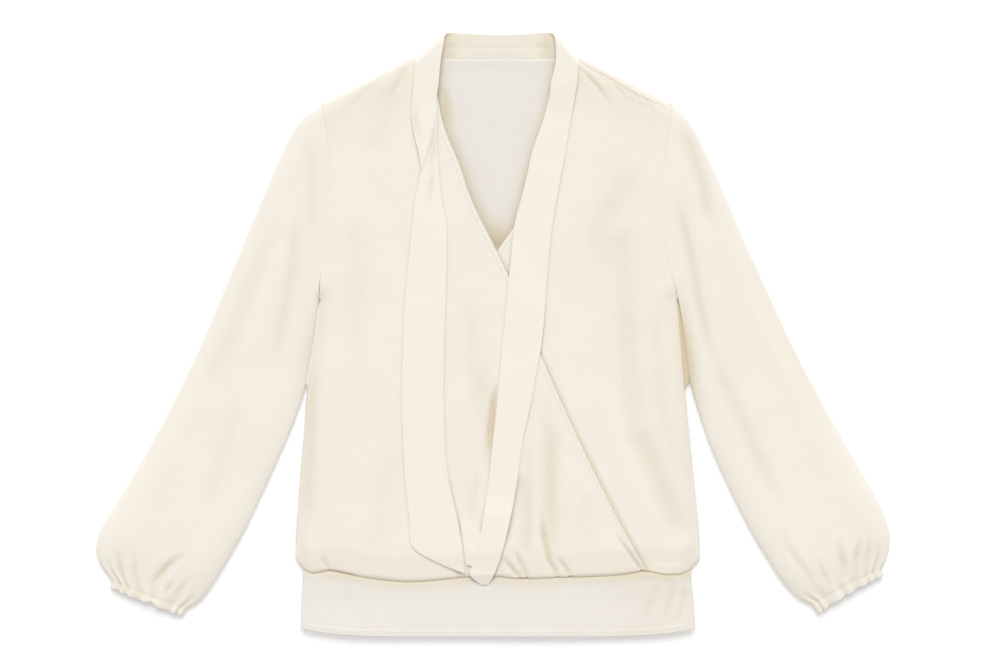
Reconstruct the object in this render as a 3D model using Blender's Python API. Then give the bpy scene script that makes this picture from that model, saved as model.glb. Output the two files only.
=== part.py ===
"""Wrap-front blouse with a V neck, two long scarf ties and elastic cuffs, laid flat on its back.

The blouse lies in its own frame: +X to the wearer's left, +Y to the neck, +Z up from the surface.
The origin is on the underside of the back panel, on the centre line.  All sizes below are in
millimetres and are turned to metres where the meshes are made.
"""

import math
from collections import namedtuple

import bpy
import numpy as np

MM = 0.001

# Cloth and the distances between layers
WALL = 1.5
TIE_WALL = 2.0
REST_GAP = 0.5
SEAM = 0.5
LAYER = 2.2

# Heights of the middle of the cloth above the surface
BACK_Z = WALL / 2
SEAM_Z = 2.2
RETURN_Z = 2.7

# Body
UNDERARM_Y = 42.0
SHOULDER_TIP_Y = 276.0
SHOULDER_NECK_Y = 332.0
SHOULDER_ROUND = 16.0
SIDE_ROUND = 22.0
HEM_BASE_Y = -276.0
ROLL_RADIUS = 7.0
ROLL_RADIUS_MIN = 1.3
ROLL_TAPER = 34.0
RETURN_LENGTH = 24.0
HEM_PUFF = 80.0
WRAP_FADE = 60.0
NECK_CORNER_ROUND = 26.0
HIDDEN_DROP = 2.4
HIDDEN_FADE = 16.0
FOLD_TAPER = 0.25
FRONT_NECK_DROP = 15.0
FREE_EDGE_PARTS = (0.0, 0.006, 0.02, 0.045, 0.09, 0.15, 0.22)
FRONT_SHOULDER_ROWS = 5
FRONT_SIDE_ROWS = 11
ROLL_STEPS = 5
BACK_INSET = 1.2
BACK_NECK_HALF_WIDTH = 86.0
BACK_NECK_TOP_Y = 328.0
BACK_COLUMNS = 12
ARMHOLE_PARTS = (0.0, 0.03, 0.08, 0.16, 0.27, 0.39, 0.52, 0.65, 0.77, 0.87, 0.94, 0.98, 1.0)
SLEEVE_TOP_PARTS = (
    0.0, 0.03, 0.08, 0.12, 0.16, 0.215, 0.27, 0.33, 0.39, 0.455, 0.52,
    0.585, 0.65, 0.71, 0.77, 0.82, 0.87, 0.905, 0.94, 0.98, 1.0,
)

# Back tail below the rolled front
TAIL_TOP_Y = -210.0
TAIL_Y = -361.0
TAIL_CORNER_DROP = 10.0
TAIL_CORNER_POWER = 6

# Neck band
BAND_TOP_Y = 363.0
BAND_SEAM_Y = 333.0
BAND_END_Y = 306.0
BAND_Z = TIE_WALL / 2
BAND_FOLD_RADIUS = 4.7
BAND_FOLD_STEPS = 6
BAND_COLUMNS = 6
BAND_DIP = 1.2
BAND_INNER_X = {"right": -68.0, "left": 70.0}
BAND_OUTER_X = {"right": -99.0, "left": 96.0}

# Sleeves and cuffs
SLEEVE_ROUND = 30.0
SLEEVE_CORNER = 2.2
SLEEVE_CORNER_GROWTH = 2.0
UNDERARM_ROOM = 1.1
UNDERARM_ROOM_START = 0.8
UNDERARM_ROOM_FADE = 0.15
CUFF_HEIGHT = 8.2
CUFF_CORNER = 2.0
CUFF_ROUND = 18.0
CUFF_UNDER_INSET = 0.03
CUFF_UNDER_COLUMNS = 12
CUFF_TOP_WIDTH = 0.998
CUFF_EDGE_WAVE = 0.8
CUFF_SEAM = 1.3
CUFF_WAVES = 11
CUFF_WAVE_HEIGHT = 1.4

# Along a sleeve, in stations: where the seam's shape, the armhole's and the cuff's blend
SEAM_BLEND = 2.0
ARMHOLE_BLEND = 6.0
CUFF_BLEND_START = 8.0
CUFF_BLEND = 5.0

# Ties: how they rise from the band, twist, cross at the loop and run out past the hem
TIE_ROWS = 30
TIE_COLUMNS = 6
TIE_BLEND_Y = 260.0
TWIST_Y = 206.0
TWIST_LENGTH = 26.0
TWIST_RISE = 2.0
WRAP_STEP_START = 14.0
WRAP_STEP = 22.0
CROSSING_Y = -190.0
CROSSING_LENGTH = 30.0
CROSSING_RISE = 2.4
TIP_SLOPE = 0.35
TIP_SLOPE_START = 2.0
LOOP_INSET = 1.2
LOOP_COLUMNS = 4

CREAM = (0.86, 0.80, 0.68, 1.0)
ROUGHNESS = 0.85

Edge = namedtuple("Edge", "y x")
Level = namedtuple("Level", "y z")
Hem = namedtuple("Hem", "x y")
Station = namedtuple("Station", "outer_x outer_y inner_x inner_y height")
TieRow = namedtuple("TieRow", "outer_x outer_y inner_x inner_y")
Fold = namedtuple("Fold", "x0 y0 x1 y1 half_width depth")

SHOULDER = {
    "right": (Edge(SHOULDER_TIP_Y, -211.2), Edge(SHOULDER_NECK_Y, -102.0)),
    "left": (Edge(SHOULDER_TIP_Y, 208.8), Edge(SHOULDER_NECK_Y, 99.5)),
}
ARMHOLE = {
    "right": (
        Edge(UNDERARM_Y, -214.0), Edge(78.0, -211.0), Edge(108.0, -205.2), Edge(150.0, -200.6),
        Edge(198.0, -200.4), Edge(246.0, -205.2), Edge(SHOULDER_TIP_Y, -211.2),
    ),
    "left": (
        Edge(UNDERARM_Y, 216.0), Edge(78.0, 206.0), Edge(108.0, 199.6), Edge(150.0, 195.8),
        Edge(198.0, 197.4), Edge(246.0, 204.6), Edge(SHOULDER_TIP_Y, 208.8),
    ),
}
SIDE = {
    "right": (
        Edge(-300.0, -244.0), Edge(-258.0, -243.2), Edge(-210.0, -240.4), Edge(-162.0, -237.2),
        Edge(-114.0, -233.2), Edge(-66.0, -229.4), Edge(-30.0, -222.6), Edge(0.0, -216.8),
        Edge(UNDERARM_Y, -214.0),
    ),
    "left": (
        Edge(-300.0, 243.6), Edge(-258.0, 242.2), Edge(-210.0, 238.8), Edge(-162.0, 234.2),
        Edge(-114.0, 229.4), Edge(-66.0, 224.8), Edge(-30.0, 221.6), Edge(0.0, 219.4),
        Edge(UNDERARM_Y, 216.0),
    ),
}

# Sides of the back panel from below the waist to the tail hem
TAIL_SIDE = {
    "right": (
        Edge(TAIL_Y, -236.4), Edge(-325.0, -235.6), Edge(-286.0, -234.0), Edge(-250.0, -236.0),
        Edge(TAIL_TOP_Y, -239.2),
    ),
    "left": (
        Edge(TAIL_Y, 236.4), Edge(-325.0, 234.4), Edge(-286.0, 231.6), Edge(-250.0, 234.6),
        Edge(TAIL_TOP_Y, 237.6),
    ),
}

# Free front edges: the neck edge under the tie, the V, then the wrap's diagonal to the hem
FRONT_EDGE = {
    "right": (
        Edge(-300.0, 190.0), Edge(-283.2, 180.0), Edge(-222.0, 146.4), Edge(-114.0, 92.4),
        Edge(-24.0, 51.6), Edge(69.6, 13.2), Edge(102.0, -2.4), Edge(163.2, -32.4),
        Edge(205.2, -46.8), Edge(249.6, -64.8), Edge(283.2, -72.0), Edge(332.0, -76.0),
    ),
    "left": (
        Edge(-300.0, -190.0), Edge(-222.0, -146.4), Edge(-114.0, -92.4), Edge(-24.0, -51.6),
        Edge(69.6, -15.6), Edge(102.0, 0.0), Edge(132.0, 20.4), Edge(150.0, 28.0),
        Edge(204.0, 42.0), Edge(246.0, 54.0), Edge(288.0, 66.0), Edge(332.0, 76.0),
    ),
}

# Lowest line of the rolled lower edge, across the front
HEM_LINE = (
    Hem(-244.0, -268.0), Hem(-234.0, -280.0), Hem(-200.0, -282.0), Hem(-177.6, -286.4),
    Hem(-141.6, -292.4), Hem(-105.6, -295.6), Hem(-69.6, -292.8), Hem(-36.0, -289.6),
    Hem(-2.4, -288.4), Hem(26.4, -292.4), Hem(56.4, -290.4), Hem(98.4, -286.8),
    Hem(146.4, -284.4), Hem(180.0, -283.2), Hem(206.4, -287.6), Hem(230.4, -282.0),
    Hem(244.0, -268.0),
)

# Height of the top layer's middle, away from its edges
LEVELS = (
    Level(-200.0, 12.4), Level(-100.0, 11.6), Level(0.0, 10.9), Level(150.0, 10.2),
    Level(270.0, 8.2), Level(332.0, 7.0),
)

# Largest soft troughs in both fronts
FOLDS = (
    Fold(148.0, 126.0, 152.0, 30.0, 13.0, 1.8),
    Fold(152.0, 44.0, 172.0, -116.0, 14.0, 2.4),
    Fold(170.0, -104.0, 232.0, -246.0, 14.0, 3.0),
    Fold(66.0, -110.0, 64.0, -270.0, 9.0, 2.8),
    Fold(30.0, -170.0, 33.0, -272.0, 7.0, 2.0),
    Fold(108.0, -190.0, 100.0, -272.0, 9.0, 0.8),
    Fold(-20.0, -40.0, -6.0, -170.0, 9.0, 1.8),
    Fold(-222.0, -40.0, -228.0, -230.0, 10.0, 2.4),
    Fold(-126.0, -150.0, -150.0, -270.0, 12.0, 1.0),
    Fold(-124.0, 290.0, -150.0, 210.0, 14.0, 1.2),
)

SLEEVE = {
    "right": (
        Station(-211.2, 276.0, -214.0, 42.0, 8.0),
        Station(-238.8, 254.4, -216.2, 24.0, 9.0),
        Station(-261.6, 212.4, -219.4, -2.0, 9.6),
        Station(-283.2, 162.0, -224.8, -32.0, 10.0),
        Station(-303.6, 114.0, -232.4, -68.0, 10.4),
        Station(-327.6, 56.4, -244.8, -104.0, 11.0),
        Station(-354.0, -6.0, -259.2, -138.0, 12.0),
        Station(-388.8, -78.0, -280.8, -186.0, 14.0),
        Station(-427.2, -150.0, -303.6, -234.0, 17.0),
        Station(-456.0, -198.0, -324.0, -270.0, 19.0),
        Station(-475.2, -229.2, -338.4, -294.0, 19.0),
        Station(-483.0, -254.4, -349.2, -309.6, 16.0),
        Station(-479.4, -272.4, -358.8, -320.4, 12.5),
        Station(-465.6, -293.4, -372.6, -329.4, 10.0),
    ),
    "left": (
        Station(208.8, 276.0, 216.0, 42.0, 8.0),
        Station(230.4, 253.2, 218.8, 24.0, 9.0),
        Station(252.0, 212.4, 221.8, -2.0, 9.6),
        Station(274.8, 162.0, 225.6, -32.0, 10.0),
        Station(295.2, 114.0, 232.6, -66.0, 10.4),
        Station(321.6, 56.4, 244.0, -102.0, 11.0),
        Station(350.4, -6.0, 256.8, -138.0, 12.0),
        Station(387.6, -78.0, 278.4, -186.0, 14.0),
        Station(428.4, -150.0, 302.4, -234.0, 17.0),
        Station(456.0, -198.0, 324.0, -270.0, 19.0),
        Station(469.2, -231.6, 339.6, -294.0, 19.0),
        Station(470.4, -252.0, 352.8, -309.6, 16.0),
        Station(467.4, -266.4, 364.8, -318.6, 12.5),
        Station(461.6, -280.4, 376.2, -325.2, 10.0),
    ),
}
# How far the cuff seam bows towards the hand, in the middle
CUFF_BOW = {"right": 1.5, "left": -2.0}

# Ends of the cuffs' free edges
CUFF_END = {
    "right": TieRow(-465.6, -301.6, -378.4, -337.0),
    "left": TieRow(463.0, -287.6, 383.6, -335.0),
}

# Largest soft troughs above the cuffs
SLEEVE_FOLDS = (
    Fold(-352.0, -248.0, -388.0, -275.0, 8.0, 3.0),
    Fold(-380.0, -268.0, -414.0, -300.0, 8.0, 3.4),
    Fold(-457.0, -250.0, -447.0, -304.0, 6.0, 2.4),
    Fold(-428.4, -262.0, -428.4, -312.0, 6.0, 2.0),
    Fold(-371.0, -294.0, -392.0, -322.0, 6.0, 2.2),
    Fold(433.0, -200.0, 450.0, -244.0, 8.0, 1.8),
    Fold(450.0, -231.6, 446.0, -290.0, 6.0, 2.8),
    Fold(436.8, -236.0, 431.0, -294.0, 5.0, 1.8),
    Fold(416.4, -270.0, 414.0, -306.0, 6.0, 2.4),
    Fold(374.0, -256.0, 388.0, -312.0, 8.0, 2.0),
)

TIE = {
    "right": (
        TieRow(-100.2, 306.0, -71.4, 306.0), TieRow(-102.6, 286.0, -73.2, 286.0),
        TieRow(-103.8, 262.0, -73.0, 262.0), TieRow(-100.8, 240.0, -72.6, 240.0),
        TieRow(-96.0, 221.0, -72.2, 221.0), TieRow(-92.4, 200.0, -71.0, 200.0),
        TieRow(-94.8, 184.0, -69.6, 184.0), TieRow(-99.6, 162.0, -67.4, 162.0),
        TieRow(-103.2, 128.0, -61.4, 130.0), TieRow(-107.6, 84.0, -61.4, 84.0),
        TieRow(-111.6, 42.0, -62.4, 42.0), TieRow(-114.0, -6.0, -64.0, -6.0),
        TieRow(-115.2, -78.0, -64.8, -78.0), TieRow(-112.8, -156.0, -61.8, -156.0),
        TieRow(-105.6, -222.0, -48.0, -224.4), TieRow(-100.2, -250.0, -42.6, -254.0),
        TieRow(-64.0, -273.0, -38.4, -284.0),
    ),
    "left": (
        TieRow(94.8, 306.0, 64.8, 306.0), TieRow(92.4, 285.0, 61.2, 285.6),
        TieRow(87.6, 258.0, 54.0, 258.0), TieRow(81.6, 222.0, 41.0, 219.6),
        TieRow(73.2, 176.4, 31.2, 176.4), TieRow(66.0, 135.6, 20.4, 135.6),
        TieRow(61.2, 92.4, 15.6, 94.8), TieRow(54.5, 8.4, 7.2, 8.4),
        TieRow(49.4, -28.8, 3.6, -28.8), TieRow(39.4, -82.8, -1.2, -82.8),
        TieRow(29.3, -129.6, -6.6, -129.6), TieRow(23.8, -171.6, -10.8, -171.6),
        TieRow(15.6, -217.2, -17.4, -217.2), TieRow(4.1, -264.0, -25.2, -264.0),
        TieRow(-6.0, -286.8, -32.4, -284.0), TieRow(-15.0, -302.0, -20.0, -300.0),
    ),
}

# Loop of the crossing ties: columns along its left and right edges, top to bottom
LOOP = (
    TieRow(-46.0, -221.5, -10.0, -243.0), TieRow(-43.6, -240.0, -12.0, -252.0),
    TieRow(-40.8, -262.0, -20.0, -268.0), TieRow(-38.6, -276.0, -27.0, -279.0),
)


def smooth_values(knots, values, at):
    """Values of a smooth curve through the given ones, at other places along it."""
    knots = np.asarray(knots, dtype=float)
    values = np.asarray(values, dtype=float)
    at = np.clip(np.asarray(at, dtype=float), knots[0], knots[-1])
    slopes = np.gradient(values, knots, axis=0)
    i = np.clip(np.searchsorted(knots, at, side="right") - 1, 0, len(knots) - 2)
    span = knots[i + 1] - knots[i]
    t = (at - knots[i]) / span
    a = 2 * t ** 3 - 3 * t ** 2 + 1
    b = t ** 3 - 2 * t ** 2 + t
    c = -2 * t ** 3 + 3 * t ** 2
    d = t ** 3 - t ** 2
    return a * values[i] + b * span * slopes[i] + c * values[i + 1] + d * span * slopes[i + 1]


def smooth_step(value):
    """0 below 0, 1 above 1 and a soft ramp between."""
    t = np.clip(value, 0.0, 1.0)
    return t * t * (3 - 2 * t)


def rounded(distance, width):
    """Rise of a rounded edge: 0 at the edge, 1 at the given width from it."""
    t = np.clip(distance / width, 0.0, 1.0)
    return math.sqrt(1 - (1 - t) ** 2)


def table_value(table, at, key, value):
    """Smooth reading of one column of a table by another."""
    rows = sorted(table, key=lambda row: getattr(row, key))
    knots = [getattr(row, key) for row in rows]
    return float(smooth_values(knots, [getattr(row, value) for row in rows], at))


def body_edge(side, y):
    """X of the body's outline at a height: shoulder, armhole, then side seam."""
    if y >= SHOULDER_TIP_Y:
        tip, neck = SHOULDER[side]
        return tip.x + (neck.x - tip.x) * (y - tip.y) / (neck.y - tip.y)
    table = ARMHOLE[side] if y >= UNDERARM_Y else SIDE[side]
    return table_value(table, y, "y", "x")


def neck_distance(x, y):
    """Distance from the nearer neck end of the shoulder seam."""
    neck = SHOULDER["right" if x < 0 else "left"][1]
    return math.hypot(x - neck.x, y - neck.y)


def shoulder_distance(x, y):
    """Distance below the nearer shoulder line."""
    tip, neck = SHOULDER["right" if x < 0 else "left"]
    along = np.array([neck.x - tip.x, neck.y - tip.y])
    along = along / np.linalg.norm(along)
    away = np.array([x - tip.x, y - tip.y])
    return max(abs(away[0] * along[1] - away[1] * along[0]), 0.0)


def side_distance(x, y):
    """Distance in from the nearer side seam; above the underarm, from the underarm itself."""
    side = "right" if x < 0 else "left"
    if y < UNDERARM_Y:
        return abs(body_edge(side, y) - x)
    return math.hypot(x - body_edge(side, UNDERARM_Y), y - UNDERARM_Y)


def fold_relief(folds, x, y):
    """Depth of the soft troughs at a point, never above zero."""
    depth = 0.0
    for fold in folds:
        run = np.array([fold.x1 - fold.x0, fold.y1 - fold.y0])
        length = np.linalg.norm(run)
        away = np.array([x - fold.x0, y - fold.y0])
        along = float(away @ run) / length ** 2
        across = (away[0] * run[1] - away[1] * run[0]) / length
        taper = smooth_step((0.5 - abs(along - 0.5)) / FOLD_TAPER + FOLD_TAPER)
        depth -= fold.depth * taper * math.exp(-(across / fold.half_width) ** 2)
    return depth


def roll_radius(x):
    """Radius of the rolled lower edge, small at the side seams."""
    left = rounded(x - body_edge("right", HEM_BASE_Y), ROLL_TAPER)
    right = rounded(body_edge("left", HEM_BASE_Y) - x, ROLL_TAPER)
    return ROLL_RADIUS_MIN + (ROLL_RADIUS - ROLL_RADIUS_MIN) * left * right


def roll_centre_y(x):
    """Y of the roll's centre, so that its outside reaches the hem line."""
    return table_value(HEM_LINE, x, "x", "y") + roll_radius(x) + WALL / 2


def top_height(x, y, folds=0.0):
    """Height of the middle of the top layer of the body at a point, with its folds or without."""
    level = table_value(LEVELS, y, "y", "z")
    if folds > 0.0:
        level += folds * fold_relief(FOLDS, x, y)
    rise = rounded(side_distance(x, y), SIDE_ROUND) * rounded(shoulder_distance(x, y), SHOULDER_ROUND)
    rise *= rounded(neck_distance(x, y), NECK_CORNER_ROUND)
    upper = SEAM_Z + (level - SEAM_Z) * rise
    puff = smooth_step((roll_centre_y(x) + HEM_PUFF - y) / HEM_PUFF)
    return upper + (RETURN_Z + 2 * roll_radius(x) - upper) * puff


def hidden_part(x, y):
    """1 where the under front is well below the over front, 0 where it shows."""
    return float(smooth_step((table_value(FRONT_EDGE["right"], y, "y", "x") - x) / HIDDEN_FADE))


def under_depth(x, y):
    """How far the under front lies below the top layer, fading out to side, armhole and shoulder."""
    fade = smooth_step((body_edge("left", min(y, SHOULDER_TIP_Y)) - x) / WRAP_FADE)
    fade *= smooth_step(shoulder_distance(x, y) / WRAP_FADE)
    return float(fade) * (LAYER + HIDDEN_DROP * hidden_part(x, y))


def steps_between(start, end, count):
    """Values from one end to the other in even steps."""
    return [start + (end - start) * i / count for i in range(count + 1)]


def armhole_rows():
    """Heights at which the body's pieces and the sleeves meet along the armhole."""
    return [SHOULDER_TIP_Y + (UNDERARM_Y - SHOULDER_TIP_Y) * part for part in ARMHOLE_PARTS]


def front_grid(side):
    """Middle surface of one front, from shoulder to hem, round the roll and back under it."""
    under = side == "left"
    rows = steps_between(SHOULDER_NECK_Y, SHOULDER_TIP_Y, FRONT_SHOULDER_ROWS)
    rows += armhole_rows()[1:]
    rows += steps_between(UNDERARM_Y, HEM_BASE_Y, FRONT_SIDE_ROWS)[1:]
    across = list(FREE_EDGE_PARTS) + steps_between(0.30, 1.0, 10)
    grid = []
    for y_row in rows:
        edge_x = body_edge(side, y_row)
        free_x = table_value(FRONT_EDGE[side], y_row, "y", "x")
        lowering = ((SHOULDER_NECK_Y - y_row) / (SHOULDER_NECK_Y - HEM_BASE_Y)) ** 4
        raising = smooth_step((y_row - SHOULDER_TIP_Y) / (SHOULDER_NECK_Y - SHOULDER_TIP_Y))
        line = []
        for part in across:
            inset = 0.0
            if not UNDERARM_Y < y_row <= SHOULDER_TIP_Y:
                inset = math.copysign(WALL / 2, -edge_x)
            x = edge_x + inset + (free_x - edge_x - inset) * part
            y = y_row + (roll_centre_y(x) - HEM_BASE_Y) * lowering - FRONT_NECK_DROP * part * raising
            z = top_height(x, y, 1.0)
            if under:
                z = top_height(x, y, 1.0 - hidden_part(x, y)) - under_depth(x, y)
            line.append((x, y, z))
        grid.append(line)
    grid += roll_rows(grid[-1], under)
    return grid


def roll_rows(last_row, under):
    """Rows that carry a front round its rolled lower edge and back up inside."""
    rows = []
    for step in range(1, ROLL_STEPS + 1):
        turn = math.pi * step / ROLL_STEPS
        line = []
        for x, _, _ in last_row:
            radius = roll_radius(x)
            depth = under_depth(x, roll_centre_y(x)) if under else 0.0
            inner = max(radius - depth, ROLL_RADIUS_MIN)
            y = roll_centre_y(x) - inner * math.sin(turn)
            line.append((x, y, RETURN_Z + radius + inner * math.cos(turn)))
        rows.append(line)
    rows.append([(x, y + RETURN_LENGTH, z) for x, y, z in rows[-1]])
    return rows


def back_grid():
    """Flat back panel, from the neck seam to the tail hem."""
    rows = [BAND_SEAM_Y - SEAM, 326.0] + steps_between(314.0, SHOULDER_TIP_Y, 3)
    rows += armhole_rows()[1:]
    rows += steps_between(UNDERARM_Y, TAIL_TOP_Y, 6)[1:]
    rows += steps_between(TAIL_TOP_Y, TAIL_Y, 5)[1:]
    grid = []
    for y_row in rows:
        ends = []
        for side in ("right", "left"):
            sign = -1.0 if side == "right" else 1.0
            x = body_edge(side, y_row)
            if y_row > BACK_NECK_TOP_Y:
                x = sign * BACK_NECK_HALF_WIDTH
            if y_row <= UNDERARM_Y:
                x -= sign * BACK_INSET
            if y_row <= TAIL_TOP_Y:
                x = table_value(TAIL_SIDE[side], y_row, "y", "x")
            ends.append(x)
        line = []
        for step in range(BACK_COLUMNS + 1):
            part = step / BACK_COLUMNS
            x = ends[0] + (ends[1] - ends[0]) * part
            corner = abs(2 * part - 1) ** TAIL_CORNER_POWER
            drop = TAIL_CORNER_DROP * corner if y_row == TAIL_Y else 0.0
            line.append((x, y_row + drop, BACK_Z))
        grid.append(line)
    return grid


def armhole_point(side, part):
    """Point of the armhole, from the shoulder tip (0) to the underarm (1)."""
    y = SHOULDER_TIP_Y + (UNDERARM_Y - SHOULDER_TIP_Y) * part
    return np.array([body_edge(side, y), y])


def sleeve_section(width, height, corner):
    """Section of a flattened tube: fractions across and heights, flat below and domed above."""
    inset = corner / width
    below = [(min(max(part, inset), 1 - inset), 0.0) for part in ARMHOLE_PARTS]
    above = []
    for part in reversed(SLEEVE_TOP_PARTS):
        edge = min(part, 1 - part) * width
        rise = rounded(edge, min(SLEEVE_ROUND, 0.45 * width))
        above.append((part, corner + (height - corner) * rise))
    side = (inset * 0.15, corner * 0.5)
    return below + [(1 - side[0], side[1])] + above + [side]


def sleeve_grid(side):
    """Middle surface of a sleeve: rings from the armhole to the cuff seam."""
    sign = -1.0 if side == "right" else 1.0
    stations = SLEEVE[side]
    places = steps_between(0.0, 1.0, 2) + steps_between(2.0, 9.0, 8) + steps_between(9.6, 13.0, 7)
    grid = []
    for place in places:
        ends = smooth_values(range(len(stations)), stations, place)
        outer, inner, height = ends[0:2], ends[2:4], float(ends[4])
        across = inner - outer
        width = float(np.linalg.norm(across))
        across = across / width
        outer = outer + across * WALL / 2
        inner = inner - across * WALL / 2
        width -= WALL
        start = 1.0 - float(smooth_step(place / ARMHOLE_BLEND))
        corner = SLEEVE_CORNER + SLEEVE_CORNER_GROWTH * (1.0 - start)
        end = float(smooth_step((place - CUFF_BLEND_START) / CUFF_BLEND))
        hand = np.array([across[1], -across[0]]) * -sign
        ring = []
        for part, z in sleeve_section(width, height, corner):
            chord = np.array([stations[0].outer_x, stations[0].outer_y]) * (1 - part)
            chord = chord + np.array([stations[0].inner_x, stations[0].inner_y]) * part
            bulge = armhole_point(side, part) - chord
            bow = hand * CUFF_BOW[side] * 4 * part * (1 - part)
            plan = outer + (inner - outer) * part + bulge * start + bow * end
            room = SEAM + UNDERARM_ROOM * float(smooth_step((part - UNDERARM_ROOM_START) / UNDERARM_ROOM_FADE))
            plan = plan + np.array([sign * room, 0.0]) * start
            if place > ARMHOLE_BLEND and z > corner:
                edge = min(part, 1 - part) * width
                z += fold_relief(SLEEVE_FOLDS, plan[0], plan[1]) * rounded(edge, SLEEVE_ROUND / 2)
            if place < SEAM_BLEND and z >= corner:
                seam_z = max(top_height(plan[0] - sign * SEAM, plan[1]) - BACK_Z, corner)
                z = seam_z + (z - seam_z) * float(smooth_step(place / SEAM_BLEND))
            ring.append((plan[0], plan[1], BACK_Z + z))
        grid.append(ring)
    return grid


def cuff_grid(side):
    """Middle surface of a gathered cuff: a short ruffled tube that goes on from the sleeve."""
    sign = -1.0 if side == "right" else 1.0
    last = SLEEVE[side][-1]
    outer = np.array([last.outer_x, last.outer_y])
    inner = np.array([last.inner_x, last.inner_y])
    across = (inner - outer) / np.linalg.norm(inner - outer)
    hand = np.array([across[1], -across[0]]) * -sign
    far = CUFF_END[side]
    top_count = CUFF_WAVES * 4
    grid = []
    for row in range(4):
        down = row / 3
        left = (outer + hand * CUFF_SEAM) * (1 - down) + np.array([far.outer_x, far.outer_y]) * down
        right = (inner + hand * CUFF_SEAM) * (1 - down) + np.array([far.inner_x, far.inner_y]) * down
        width = float(np.linalg.norm(right - left)) - WALL
        left = left + across * WALL / 2
        ring = []
        for part in steps_between(CUFF_UNDER_INSET, 1 - CUFF_UNDER_INSET, CUFF_UNDER_COLUMNS):
            ring.append((part, 0.0, 0.0))
        for step in range(top_count + 1):
            turn = math.pi * step / top_count
            part = 0.5 + 0.5 * math.cos(turn) * CUFF_TOP_WIDTH
            wave = math.cos(2 * math.pi * CUFF_WAVES * step / top_count)
            dome = rounded(min(part, 1 - part) * width, CUFF_ROUND)
            z = CUFF_CORNER + (CUFF_HEIGHT - CUFF_CORNER) * dome + CUFF_WAVE_HEIGHT * wave * dome
            ring.append((part, z, CUFF_EDGE_WAVE * wave * down))
        line = []
        for part, z, away in ring:
            bow = CUFF_BOW[side] * 4 * part * (1 - part)
            plan = left + (right - left) * (width / (width + WALL)) * part + hand * (away + bow)
            line.append((plan[0], plan[1], BACK_Z + z))
        grid.append(line)
    return grid


def wrap_height(x, y):
    """Height of what a tie lies on: the over front, or past its edge the under front."""
    wrap_x = table_value(FRONT_EDGE["right"], y, "y", "x")
    past = float(smooth_step((x - wrap_x - WRAP_STEP_START) / WRAP_STEP))
    return top_height(x, y) - LAYER * past


def tie_base(side, x, y):
    """Height of the cloth under a tie, with the under front counted only below the left tie."""
    floor = max(y, roll_centre_y(x))
    base = top_height(x, floor)
    if side == "left":
        base = wrap_height(x, floor)
    return base


def tie_grid(side):
    """Middle surface of a tie, moved out from the fronts that it lies on."""
    rows = TIE[side]
    lift = WALL / 2 + REST_GAP + TIE_WALL / 2
    grid = []
    for step in range(TIE_ROWS + 1):
        place = (len(rows) - 1) * step / TIE_ROWS
        outer_x, outer_y, inner_x, inner_y = smooth_values(range(len(rows)), rows, place)
        if step == 0:
            outer_y -= SEAM
            inner_y -= SEAM
        line = []
        for part in steps_between(0.0, 1.0, TIE_COLUMNS):
            x = outer_x + (inner_x - outer_x) * part
            y = outer_y + (inner_y - outer_y) * part
            z = tie_base(side, x, y) + lift
            near_band = float(smooth_step((y - TIE_BLEND_Y) / (BAND_END_Y - TIE_BLEND_Y)))
            z += (BAND_Z + 2 * BAND_FOLD_RADIUS - z) * near_band
            if side == "right":
                twist = math.exp(-((y - TWIST_Y) / TWIST_LENGTH) ** 2)
                z += TWIST_RISE * twist * math.sin(math.pi * part)
            else:
                z += CROSSING_RISE * float(smooth_step((CROSSING_Y - y) / CROSSING_LENGTH))
                z -= TIP_SLOPE * max(roll_centre_y(x) - y - TIP_SLOPE_START, 0.0)
            line.append((x, y, z))
        grid.append(line)
    return grid


def loop_grid():
    """Small loop of the crossing ties, beside the right tie and under the left one."""
    lift = WALL / 2 + REST_GAP + TIE_WALL / 2
    grid = []
    for row in LOOP:
        line = []
        for part in steps_between(0.0, 1.0, LOOP_COLUMNS):
            x = row.outer_x + (row.inner_x - row.outer_x) * part + LOOP_INSET * (1 - part)
            y = row.outer_y + (row.inner_y - row.outer_y) * part
            line.append((x, y, top_height(x, max(y, roll_centre_y(x))) + lift))
        grid.append(line)
    return grid


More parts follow.
